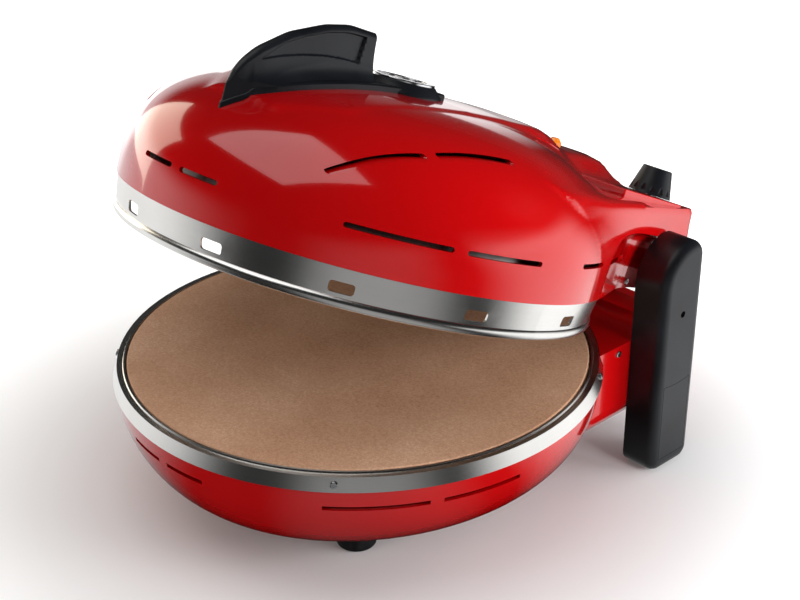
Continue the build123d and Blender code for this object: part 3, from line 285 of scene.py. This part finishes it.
def placed(name, mesh, material, body, slot, *nodes):
    """Object of a finished mesh that rides on a body and stands for CAD nodes."""
    mesh.materials.clear()
    mesh.materials.append(material)
    piece = bpy.data.objects.new(name, mesh)
    bpy.context.scene.collection.objects.link(piece)
    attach(piece, body)
    if nodes:
        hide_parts(*nodes)
    return piece


def material_of(name, **constants):
    """Material with one Principled shader whose constants are set on its own sockets; also gives the
    shader and the object coordinates."""
    material = bpy.data.materials.new(name)
    tree, output = node_tree(material)
    shader = tree.nodes.new("ShaderNodeBsdfPrincipled")
    tree.links.new(shader.outputs[0], output.inputs["Surface"])
    for socket, value in constants.items():
        shader.inputs[socket.replace("_", " ")].default_value = value
    spot = Socket(tree, None).node("ShaderNodeTexCoord", {}, {}, "Object")
    return material, shader, spot


def feed(shader, **links):
    """Links what varies over the surface to the shader's sockets."""
    for socket, value in links.items():
        shader.id_data.links.new(value.link, shader.inputs[socket.replace("_", " ")])


def bump(height, strength, distance):
    """Normal bent by a height, in metres at full strength."""
    return height.node("ShaderNodeBump", {}, {"Height": height, "Strength": strength, "Distance": distance})


def dress(material, *nodes):
    """Gives CAD nodes a material."""
    for name in nodes:
        piece = frame["nodes"][name]
        piece.data.materials.clear()
        piece.data.materials.append(material)


# ---------------------------------------------------------------- red lid
# Injection-moulded shell in glossy red: a squarish dome that runs back into a box with a raised spine, a
# wedge for the knob and a hollow for each arm. Cooling slots are cut through its 2.5 mm wall.
red, shader, spot = material_of("red_gloss", Metallic=0.0, IOR=1.5, Coat_Weight=0.8, Coat_Roughness=0.03)
cloud = spot.noise(9.0, 2)
feed(shader, Base_Color=cloud.ramp((0.3, (0.47, 0.0010, 0.0018)), (0.7, (0.52, 0.0014, 0.0024))),
     Roughness=spot.noise(60.0, 3) * 0.05 + 0.10,
     Normal=bump(spot.noise(420.0, 1), 0.12, 0.0001))

DOME_R, DOME_TOP, DOME_WAIST, DOME_POWER = 166.2, 119.0, 34.0, 2.65
LID_LOW, LID_WALL = 26.6, 2.5
BOX_TOP, BOX_BACK, BOX_SHOULDER = 88.6, 203.0, 68.0


def smooth_min(a, b, reach):
    """Lesser of two distances, rounded where they differ by less than reach."""
    blend = np.clip(0.5 + 0.5 * (b - a) / reach, 0, 1)
    return b + (a - b) * blend - reach * blend * (1 - blend)


def smooth_max(a, b, reach):
    """Greater of two distances, rounded where they differ by less than reach."""
    return -smooth_min(-a, -b, reach)


def dome_distance(x, y, z):
    """Distance to a superellipse of revolution: (r / R)^n + (height / H)^n = 1, over its slope there."""
    high = DOME_TOP - DOME_WAIST
    out, up = np.hypot(x, y) / DOME_R, np.maximum(z - DOME_WAIST, 0) / high
    size = (out ** DOME_POWER + up ** DOME_POWER) ** (1 / DOME_POWER) + 1e-9
    slope = size ** (1 - DOME_POWER) * np.hypot(out ** (DOME_POWER - 1) / DOME_R, up ** (DOME_POWER - 1) / high)
    return (size - 1) / np.maximum(slope, 0.35 / DOME_R)


HOLLOW_FRONT = 140.0     # forward of here the box's sides run to the dome as tangents


def box_distance(x, y, z):
    """Distance to the rear box: sides that lean out downwards, a flat top and a flat back. At each height its
    sides run forward as the line x cos b + y sin b = r that touches the dome's round of radius r there."""
    down = np.clip((BOX_TOP - z) / (BOX_TOP - BOX_SHOULDER), 0, 1)
    spread = 0.102 - 0.027 * down
    rear_x = 117 + 3 * down + spread * (BOX_BACK - y)
    corner_x = 117 + 3 * down + spread * (BOX_BACK - HOLLOW_FRONT)
    up = np.clip((z - DOME_WAIST) / (DOME_TOP - DOME_WAIST), 0, 0.9)
    dome_r = DOME_R * (1 - up ** DOME_POWER) ** (1 / DOME_POWER)
    touch = np.arctan2(HOLLOW_FRONT, corner_x) - np.arccos(dome_r / np.hypot(corner_x, HOLLOW_FRONT))
    tangent = np.abs(x) * np.cos(touch) + y * np.sin(touch) - dome_r
    sides = smooth_min(tangent, (np.abs(x) - rear_x) * 0.99, 14)
    rear = y - BOX_BACK - 1.5 * down
    front = np.abs(x) * np.sin(touch) - y * np.cos(touch)
    return np.maximum(smooth_max(smooth_max(sides, z - BOX_TOP, 5), rear, 4), front)


SPINE_Y = (-140, -95, -40, 20, 60, 95, 110, 124, 137, 150, 165, 190, 215)
SPINE_Z = (98, 108, 116.5, 119.8, 119.6, 118.1, 116.6, 113.6, 108.5, 104.2, 102.8, 101.9, 100.5)
SPINE_X = (20, 58, 56, 52, 49, 46, 43, 40, 38, 36, 35, 34, 33)


def spine_distance(x, y, z):
    """Distance to the spine: a crowned top whose edges fall away in sloping flanks."""
    wide = np.interp(y, SPINE_Y, SPINE_X)
    top = np.interp(y, SPINE_Y, SPINE_Z) - 2.0 * (x / wide) ** 2
    flank = np.interp(y, (60, 150), (0.80, 0.45))
    slope = ((np.abs(x) - wide) * flank + (z - top + 2.0)) / np.hypot(1, flank)
    crest = smooth_max(smooth_max(z - top, slope, 2.5), y - BOX_BACK, 4)
    return np.maximum(crest, np.maximum(-128 - y, 78 - z))


def roof_height(y):
    """Height of the hollow's arched roof, some way back."""
    return 69.7 - 0.0008 * (y - 95) ** 2


def hollow_depth(x, y, z):
    """How deep a place is in an arm's hollow: outside a wall that is flat beside the arm and then turns
    to meet the dome, and under an arched roof."""
    out = smooth_min(np.abs(x) - 115.5, 0.893 * np.abs(x) + 0.450 * y - 167.1, 7.2)
    return smooth_min(out, roof_height(y) - z, 9)


def lid_distance(places):
    """Distance to the lid's outer skin, less than nothing inside."""
    x, y, z = places[..., 0], places[..., 1], places[..., 2]
    reach = 0.4 + 10 * np.clip((z - 78) / 12, 0, 1)
    body = smooth_min(dome_distance(x, y, z), box_distance(x, y, z), reach)
    body = smooth_min(body, spine_distance(x, y, z), 5)
    return smooth_max(body, hollow_depth(x, y, z), 0.5)


def skin(distance, middle, directions, near, far, step):
    """Where rays from the middle first leave a form: stepped outwards, then halved eleven times."""
    reach = np.arange(near, far, step)
    low = np.full(directions.shape[:-1], near)
    found = np.zeros(low.shape, bool)
    for place in reach:
        outside = distance(middle + directions * place) > 0
        low = np.where(found | outside, low, place)
        found |= outside
    high = low + step
    for _ in range(11):
        half = (low + high) / 2
        outside = distance(middle + directions * half[..., None]) > 0
        high, low = np.where(outside, half, high), np.where(outside, low, half)
    return middle + directions * half[..., None]


def outward(distance, places):
    """Unit slope of a distance, by differences of 0.4 mm."""
    slope = np.stack([distance(places + offset) - distance(places - offset) for offset in np.eye(3) * 0.4], axis=-1)
    return slope / np.linalg.norm(slope, axis=-1, keepdims=True)


# Below the knee the grid's rows are level rays that crowd where the hollow's roof is; above it they fan
# out from one point.
TURNS, KNEE, INNER_STEP, MIDDLE_Y = 460, 82.0, 6, 25.0
turn = np.linspace(0, 2 * math.pi, TURNS, endpoint=False)
level = np.stack([np.sin(turn), -np.cos(turn), 0 * turn], axis=-1)
wall = skin(lid_distance, np.array([0, MIDDLE_Y, 50.0]), level, 30.0, 250.0, 3.0)
roof = np.clip(roof_height(wall[:, 1]), 60, None)
below = 1 - np.linspace(1, 0.01, 44) ** 2
above = np.linspace(0.03, 1, 16) ** 1.6
rows_z = np.concatenate([LID_LOW + below[:, None] * (roof - LID_LOW), roof + above[:, None] * (KNEE - roof)])
rises = np.linspace(0, 1, 117)[1:] * math.radians(89.6)
flat = len(rows_z)
RISE = np.concatenate([np.zeros(flat), rises])[:, None]
start_z = np.concatenate([rows_z, np.full((len(rises), TURNS), KNEE)])
starts = np.stack([0 * start_z, 0 * start_z + MIDDLE_Y, start_z], axis=-1)
rays = np.stack([np.sin(turn) * np.cos(RISE), -np.cos(turn) * np.cos(RISE), np.sin(RISE) + 0 * turn], axis=-1)
RISES = len(starts)
outer = skin(lid_distance, starts, rays, 30.0, 250.0, 3.0)
inner = (outer - LID_WALL * outward(lid_distance, outer))[::INNER_STEP]
inner[0, :, 2] = LID_LOW
outer_faces = grid_faces(RISES, TURNS)
inner_faces = grid_faces(len(inner), TURNS, RISES * TURNS)[:, ::-1]
ring = np.arange(TURNS)
after = (ring + 1) % TURNS
lip = np.stack([after, ring, ring + RISES * TURNS, after + RISES * TURNS], axis=-1)
points = np.concatenate([outer.reshape(-1, 3), inner.reshape(-1, 3)])
lid_mesh = mesh_of("lid_skin", swung(in_frame(points)), np.concatenate([outer_faces, inner_faces, lip]))


def close_poles(mesh):
    """Fills the small rings left open at a grid's poles."""
    form = bmesh.new()
    form.from_mesh(mesh)
    bmesh.ops.holes_fill(form, edges=[edge for edge in form.edges if edge.is_boundary], sides=0)
    bmesh.ops.triangulate(form, faces=[face for face in form.faces if len(face.verts) > 4])
    form.to_mesh(mesh)
    form.free()


close_poles(lid_mesh)

SLOT_HALF = 1.6


def slot_cutter(middle, up, inward, half=SLOT_HALF):
    """Bar with rounded ends for one slot: stations along its line, each with an up vector and a vector
    through the wall, both ways."""
    along = np.concatenate([[0], np.cumsum(np.linalg.norm(np.diff(middle, axis=0), axis=1))])
    near_end = np.clip(np.minimum(along, along[-1] - along) / half, 0, 1)
    tall = half * np.sqrt(np.clip(1 - (1 - near_end) ** 2, 0.02, 1))[:, None] * up
    return np.stack([middle - tall - inward, middle + tall - inward, middle + tall + inward, middle - tall + inward], 1)


def eased(start, end, count=26):
    """Places from start to end, closer together at both ends."""
    return start + (end - start) * (1 - np.cos(np.linspace(0, math.pi, count))) / 2


def round_slot(height, start, end, radius, reach):
    """Cutter for a level slot round an upright axis, from one bearing to another, in degrees."""
    bearing = np.radians(eased(start, end))
    out = np.stack([np.sin(bearing), -np.cos(bearing), 0 * bearing], axis=1)
    return slot_cutter(out * radius + (0, 0, height), np.array([0, 0, 1.0]), out * reach)


def swept_slot(sign, start, middle, end):
    """Cutter for a slot that is an arc seen from the side, through a flank; places are (back, height)."""
    share = eased(0.0, 1.0)[:, None]
    start, middle, end = np.array(start), np.array(middle), np.array(end)
    bow = 2 * middle - (start + end) / 2
    line = (1 - share) ** 2 * start + 2 * share * (1 - share) * bow + share ** 2 * end
    lean = np.gradient(line, axis=0)
    lean /= np.linalg.norm(lean, axis=1, keepdims=True)
    stations = np.column_stack([np.full(len(line), sign * 95.0), line])
    up = np.column_stack([np.zeros(len(line)), -lean[:, 1], lean[:, 0]])
    return slot_cutter(stations, up, np.array([65.0, 0, 0]), 1.2)


def blade(start, end, half=0.8, reach=7.0):
    """Cutter for a thin straight slot that goes down through the skin between two places on it."""
    middle = eased(0.0, 1.0)[:, None] * (end - start) + start
    across = np.cross(end - start, (0, 0, 1.0))
    return slot_cutter(middle, across / np.linalg.norm(across), np.array([0, 0, reach]), half)


def cutter_mesh(name, bars, place):
    """One closed mesh of many four-sided bars."""
    corners, faces, first = [], [], 0
    for bar in bars:
        rows = len(bar)
        corners.append(bar.reshape(-1, 3))
        faces.append(grid_faces(rows, 4, first))
        faces.append(np.array([[3, 2, 1, 0], [rows * 4 - 4, rows * 4 - 3, rows * 4 - 2, rows * 4 - 1]]) + first)
        first += rows * 4
    return mesh_of(name, place(np.concatenate(corners)), np.concatenate(faces))


def cut(mesh, cutter, angle):
    """Takes a cutter's bars out of a closed mesh and marks the edges that stay sharp."""
    form = bmesh.new()
    form.from_mesh(cutter)
    bmesh.ops.recalc_face_normals(form, faces=form.faces)
    form.to_mesh(cutter)
    form.free()
    body, tool = bpy.data.objects.new("body", mesh), bpy.data.objects.new("tool", cutter)
    for piece in (body, tool):
        bpy.context.scene.collection.objects.link(piece)
    modifier = body.modifiers.new("slots", "BOOLEAN")
    modifier.operation, modifier.solver, modifier.object = "DIFFERENCE", "MANIFOLD", tool
    done = bpy.data.meshes.new_from_object(body.evaluated_get(bpy.context.evaluated_depsgraph_get()))
    for piece in (body, tool):
        bpy.data.objects.remove(piece)
    done.shade_smooth()
    done.set_sharp_from_angle(angle=math.radians(angle))
    return done


ROW_SLOTS = ((1.4, 12.4), (40.4, 63.3), (66.3, 85.2), (100.4, 112.5), (118.9, 134.2))
SWEEPS = (((-130, 75.0), (-106, 88.1), (-77, 95.7)), ((-70, 97.2), (-43, 100.9), (-14.5, 101.5)))
THIN_SLOTS = (((52.0, 91.0, 110.6), (47.5, 125.6, 103.9)),)
lid_bars = []
for sign in (-1, 1):
    for start, end in ROW_SLOTS:
        lid_bars.append(round_slot(50.8, sign * start, sign * end, 167.0, 11.0))
    for places in SWEEPS:
        lid_bars.append(swept_slot(sign, *places))
    for places in THIN_SLOTS:
        lid_bars.append(blade(*(np.array(place) * (sign, 1, 1) for place in places)))
lid_mesh = cut(lid_mesh, cutter_mesh("lid_slots", lid_bars, lambda places: swung(in_frame(places))), 38)
placed("lid_skin", lid_mesh, red, "lid", "red_housing", "lid_shell")

# ---------------------------------------------------------------- seat of the knob
# Wedge moulded on the box's right rear corner, square to the knob's shaft: it falls to nothing at the back.
WEDGE_X, WEDGE_Y, WEDGE_RISE, WEDGE_SUNK = (75.0, 115.5), (118.0, 190.0), 6.2, 3.0
wedge_places = np.array([(x, y, z) for y, high in zip(WEDGE_Y, (WEDGE_RISE, 0.2))
                         for z in (BOX_TOP - WEDGE_SUNK, BOX_TOP + high) for x in WEDGE_X])
wedge_faces = ((0, 1, 3, 2), (5, 4, 6, 7), (1, 5, 7, 3), (4, 0, 2, 6), (2, 3, 7, 6), (4, 5, 1, 0))
wedge = placed("knob_seat", mesh_of("knob_seat", swung(in_frame(wedge_places)), np.array(wedge_faces)), red, "lid",
               "red_housing")
wedge.data.shade_smooth()
rounding = wedge.modifiers.new("edges", "BEVEL")
rounding.width, rounding.segments, rounding.harden_normals = 0.0012, 3, True

dress(red, "base_shell")

# ---------------------------------------------------------------- black mouldings
# Arm covers, their service panels, the handle, the knob and the gland: polyamide with a fine spark-eroded
# grain.
black, shader, spot = material_of("black_grain", Metallic=0.0, IOR=1.48, Specular_IOR_Level=0.4)
feed(shader, Base_Color=spot.noise(40.0, 3).ramp((0.3, (0.005, 0.0055, 0.007)), (0.7, (0.009, 0.0105, 0.013))),
     Roughness=spot.noise(900.0, 2) * 0.14 + 0.31,
     Normal=bump(spot.noise(2600.0, 2), 0.35, 0.0001))
dress(black, "right_arm_cover", "left_arm_cover", "right_service_panel", "left_service_panel", "thermostat_knob",
      "cord_gland", "hinge_spacers", "indicator_lamp", "thermostat")

# ---------------------------------------------------------------- handle
# One black moulding on the lid's crown: a pointed strip, a swept fin whose sides are drawn in to recessed
# panels, and a round pod for the sight glass. It is screwed on from inside the lid.
CREST_Y = (-143.4, -142.9, -136.4, -125.4, -103.5, -76.2, -56.3, -33.0)
CREST_Z = (97.0, 107.5, 119.4, 129.6, 142.3, 151.2, 154.2, 152.6)
STRIP_T, STRIP_X, STRIP_BACK = 4.0, 20.0, 25.0
FIN_TOP_X, FIN_SIDE_X, FIN_FOOT_X = 4.0, 6.6, 15.0
PANEL_Y = (-125.0, -110.0, -94.0, -76.0, -60.0, -42.0)
PANEL_TOP = (122.3, 134.5, 141.7, 147.0, 149.5, 149.2)
PANEL_LOW = (122.3, 126.8, 130.0, 132.2, 132.6, 131.5)


def crown_height(x, y):
    """Height of the lid's skin over a place, by halving."""
    low, high = np.full(np.shape(x), 60.0), np.full(np.shape(x), 140.0)
    for _ in range(18):
        half = (low + high) / 2
        inside = lid_distance(np.stack([x, y, half], axis=-1)) < 0
        low, high = np.where(inside, half, low), np.where(inside, high, half)
    return low


def smooth_curve(at, places, values):
    """Values between chosen places, with the corners of the straight runs rounded off."""
    spread = np.linspace(-1, 1, 9)
    return np.mean([np.interp(at + 3.5 * step, places, values) for step in spread], axis=0)


def strip_half(y):
    """Half width of the strip: 20 mm, drawn in to its point over the front 74 mm."""
    return STRIP_X * np.sin(np.clip((y - CREST_Y[0] + 1) / 74, 0.006, 1) * math.pi / 2) ** 0.8


def capped(mesh_name, points):
    """Closed mesh of rings of points that follow one another, with both ends filled."""
    rows, columns = points.shape[:2]
    mesh = mesh_of(mesh_name, swung(in_frame(points)), grid_faces(rows, columns))
    close_poles(mesh)
    form = bmesh.new()
    form.from_mesh(mesh)
    bmesh.ops.recalc_face_normals(form, faces=form.faces)
    form.to_mesh(mesh)
    form.free()
    mesh.shade_smooth()
    mesh.set_sharp_from_angle(angle=math.radians(40))
    return mesh


# fin: level rings from its root up to its crest; each ring runs from the front edge to the upright rear end
LEVELS, ALONG = 90, 150
share = np.linspace(0, 1, LEVELS)[:, None]
place = np.linspace(0, 1, ALONG)[None, :] ** 1.5
lean_end = -33.5 - 0.9 * np.sin(share * math.pi)
fin_y = CREST_Y[0] + 0.6 + (lean_end - CREST_Y[0] - 0.6) * place
crest = smooth_curve(fin_y, CREST_Y, CREST_Z)
root = crown_height(0 * fin_y, fin_y) + STRIP_T - 1.5
fin_z = root + (np.maximum(crest, root + 0.5) - root) * np.sin(share * math.pi / 2)
to_crest = np.maximum(crest, root + 0.5) - fin_z
side = FIN_TOP_X + (FIN_SIDE_X - FIN_TOP_X) * np.clip(to_crest / 22, 0, 1)
flare = (FIN_FOOT_X - FIN_SIDE_X) * np.exp(-(fin_z - root) / 4.0)
round_crest = np.sqrt(np.clip(1 - (1 - np.clip(to_crest / 4.0, 0, 1)) ** 2, 0.0004, 1))
tip = np.sqrt(np.clip(1 - (1 - np.clip((fin_y - CREST_Y[0]) / 26.0, 0, 1)) ** 2, 0.0004, 1))
half = np.minimum((side * round_crest + flare) * (0.12 + 0.88 * tip), strip_half(fin_y) - 0.8)
in_panel = np.minimum(np.minimum(smooth_curve(fin_y, PANEL_Y, PANEL_TOP) - fin_z,
                                 fin_z - smooth_curve(fin_y, PANEL_Y, PANEL_LOW)),
                      np.minimum(-47.0 + 0.23 * (fin_z - 132) - fin_y, fin_y + 124))
deep = 0.7 + 1.5 * np.clip((fin_y + 125) / 80, 0, 1)
half = np.maximum(half - deep * np.clip(in_panel / 0.7, 0, 1), 0.05)
right_side = np.stack([half, fin_y, fin_z], axis=-1)
left_side = (right_side * (-1, 1, 1))[:, ::-1]
fin = placed("handle_fin", capped("handle_fin", np.concatenate([right_side, left_side], axis=1)), black, "lid",
             "black_plastic", "handle")

# strip: rings across it, from the pointed front to its square rear end
strip_y = CREST_Y[0] - 0.3 + (STRIP_BACK - CREST_Y[0]) * np.linspace(0, 1, 90) ** 1.3
strip_x = strip_half(strip_y)
across = np.concatenate([np.linspace(-1, 1, 41), np.linspace(1, -1, 41)])
wide, strip_long = strip_x[:, None] * across, strip_y[:, None] + 0 * across
top = np.arange(82) < 41
edge = np.clip((1 - np.abs(across)) * strip_x[:, None] / 1.0, 0, 1)
lift = np.where(top, STRIP_T - 0.8 * (1 - edge) ** 2, -1.5)
strip_z = crown_height(wide, strip_long) + lift
placed("handle_strip", capped("handle_strip", np.stack([wide, strip_long, strip_z], axis=-1)), black, "lid",
       "black_plastic")

# pod: turned form with the seat of the glass and the way for the eye
POD_Y, POD_TOP = 1.5, 127.0
profile = np.array([(15.0, 113.0), (15.0, 122.4), (19.8, 122.4), (19.8, 127.0), (22.6, 127.0), (23.2, 126.6),
                    (28.4, 121.2), (29.0, 120.0), (29.0, 113.0)])
turns = np.linspace(0, 2 * math.pi, 96, endpoint=False)
pod_points = np.stack([profile[:, 0, None] * np.cos(turns), profile[:, 0, None] * np.sin(turns) + POD_Y,
                       profile[:, 1, None] + 0 * turns], axis=-1)
pod_mesh = mesh_of("handle_pod", swung(in_frame(pod_points)), ring_faces(len(profile), len(turns)))
form = bmesh.new()
form.from_mesh(pod_mesh)
bmesh.ops.recalc_face_normals(form, faces=form.faces)
form.to_mesh(pod_mesh)
form.free()
pod_mesh.shade_smooth()
pod_mesh.set_sharp_from_angle(angle=math.radians(30))
placed("handle_pod", pod_mesh, black, "lid", "black_plastic")

# ---------------------------------------------------------------- steel rings
# Stainless trim round the base's mouth and round the lid: spun sheet, brushed along its length.


def brushed(name, middle, axis, low, high):
    """Stainless steel whose fine scratches run round an axis: noise of height and radius alone."""
    material, shader, spot = material_of(name, Metallic=1.0, Anisotropic=0.0)
    from_middle = spot.node("ShaderNodeVectorMath", {"operation": "SUBTRACT"}, {0: spot, 1: tuple(middle)})
    height = from_middle.node("ShaderNodeVectorMath", {"operation": "DOT_PRODUCT"}, {0: from_middle, 1: tuple(axis)},
                              "Value")
    across = from_middle.node("ShaderNodeVectorMath", {"operation": "CROSS_PRODUCT"},
                              {0: from_middle, 1: tuple(axis)})
    radius = across.node("ShaderNodeVectorMath", {"operation": "LENGTH"}, {0: across}, "Value")
    lines = height.node("ShaderNodeCombineXYZ", {}, {0: height * 2600.0, 1: radius * 2600.0, 2: 0.0})
    streak = lines.noise(1.0, 3, 0.7)
    smear = spot.noise(30.0, 2)
    feed(shader, Base_Color=(streak * 0.6 + smear * 0.4).ramp((0.25, low), (0.75, high)),
         Roughness=streak * 0.14 + 0.17,
         Normal=bump(streak, 0.12, 0.0001))
    return material


lid_axis = (0.0, math.sin(rest_angle), math.cos(rest_angle))
dress(brushed("rim_steel", rim_middle, (0, 0, 1), (0.74, 0.73, 0.705), (0.88, 0.87, 0.85)), "base_trim_ring")
dress(brushed("skirt_steel", swung(rim_middle), lid_axis, (0.74, 0.73, 0.705), (0.88, 0.87, 0.85)), "lid_skirt_ring")

# ---------------------------------------------------------------- baking stone
# Cordierite slab, pressed and fired: tan, with darker and paler grains and small pits.
stone, shader, spot = material_of("fired_stone", Metallic=0.0, IOR=1.45, Specular_IOR_Level=0.25)
patch = spot.noise(14.0, 3)
grain = spot.noise(620.0, 4, 0.65)
fine = spot.noise(1900.0, 2, 0.6)
tone = (patch * 0.3 + grain * 0.45 + fine * 0.25).ramp(
    (0.30, (0.260, 0.115, 0.062)), (0.42, (0.500, 0.270, 0.160)), (0.56, (0.620, 0.365, 0.235)),
    (0.72, (0.800, 0.560, 0.410)))
feed(shader, Base_Color=tone, Roughness=grain * 0.2 + 0.72, Normal=bump(grain + fine, 0.55, 0.0004))
dress(stone, "pizza_stone")

# ---------------------------------------------------------------- small metal and glass
# Screws and pins, chrome ring of the sight glass, smoked glass, pilot lamp's lens, heaters and sheet inside.


def plain_metal(name, low, high, rough, scale=90.0, grain=0.15):
    """Metal whose tone and shine wander a little."""
    material, shader, spot = material_of(name, Metallic=1.0)
    wander = spot.noise(scale, 3)
    feed(shader, Base_Color=wander.ramp((0.3, low), (0.7, high)), Roughness=wander * 0.15 + rough,
         Normal=bump(spot.noise(scale * 9, 2), grain, 0.0001))
    return material


dress(plain_metal("screw_metal", (0.55, 0.55, 0.56), (0.75, 0.75, 0.76), 0.15), "rim_screws", "neck_screws",
      "lid_wall_screws", "arm_screws", "bottom_cover_screws", "right_hinge_pin", "left_hinge_pin", "knob_shaft")
dress(plain_metal("chrome", (0.75, 0.75, 0.77), (0.85, 0.85, 0.87), 0.03, 60.0, 0.02), "sight_glass_bezel")
dress(plain_metal("zinc_sheet", (0.45, 0.45, 0.44), (0.62, 0.62, 0.60), 0.30), "bottom_cover", "lid_neck_cover",
      "right_hinge_bracket", "left_hinge_bracket", "right_lid_hinge_plate", "left_lid_hinge_plate")
dress(plain_metal("bright_sheet", (0.66, 0.65, 0.63), (0.80, 0.79, 0.77), 0.24), "upper_reflector", "heater_pan")
dress(plain_metal("heater_rod", (0.10, 0.095, 0.09), (0.22, 0.20, 0.19), 0.42), "upper_heater", "lower_heater",
      "upper_heater_clips", "lower_heater_clips")

glass, shader, spot = material_of("smoked_glass", Metallic=0.0, IOR=1.5, Coat_Weight=1.0, Coat_Roughness=0.01)
feed(shader, Base_Color=spot.noise(60.0, 2).ramp((0.3, (0.010, 0.011, 0.013)), (0.7, (0.02, 0.021, 0.024))),
     Roughness=spot.noise(200.0, 2) * 0.04 + 0.04)
dress(glass, "sight_glass")

amber, shader, spot = material_of("amber_lens", Metallic=0.0, IOR=1.55, Coat_Weight=1.0, Coat_Roughness=0.02,
                                  Emission_Strength=0.12)
amber_tone = spot.noise(500.0, 2).ramp((0.3, (0.80, 0.16, 0.01)), (0.7, (1.0, 0.34, 0.03)))
feed(shader, Base_Color=amber_tone, Emission_Color=amber_tone, Roughness=spot.noise(300.0, 1) * 0.05 + 0.08)
dress(amber, "indicator_lens")

ceramic, shader, spot = material_of("steatite", Metallic=0.0, IOR=1.5)
feed(shader, Base_Color=spot.noise(300.0, 3).ramp((0.3, (0.62, 0.60, 0.55)), (0.7, (0.74, 0.72, 0.67))),
     Roughness=spot.noise(500.0, 2) * 0.2 + 0.45)
dress(ceramic, "upper_terminal_block", "lower_terminal_block")

rubber, shader, spot = material_of("black_rubber", Metallic=0.0, IOR=1.5)
feed(shader, Base_Color=spot.noise(200.0, 3).ramp((0.3, (0.008, 0.008, 0.009)), (0.7, (0.018, 0.018, 0.02))),
     Roughness=spot.noise(700.0, 2) * 0.2 + 0.55, Normal=bump(spot.noise(1500.0, 2), 0.3, 0.0001))
dress(rubber, "front_feet", "arm_pads")
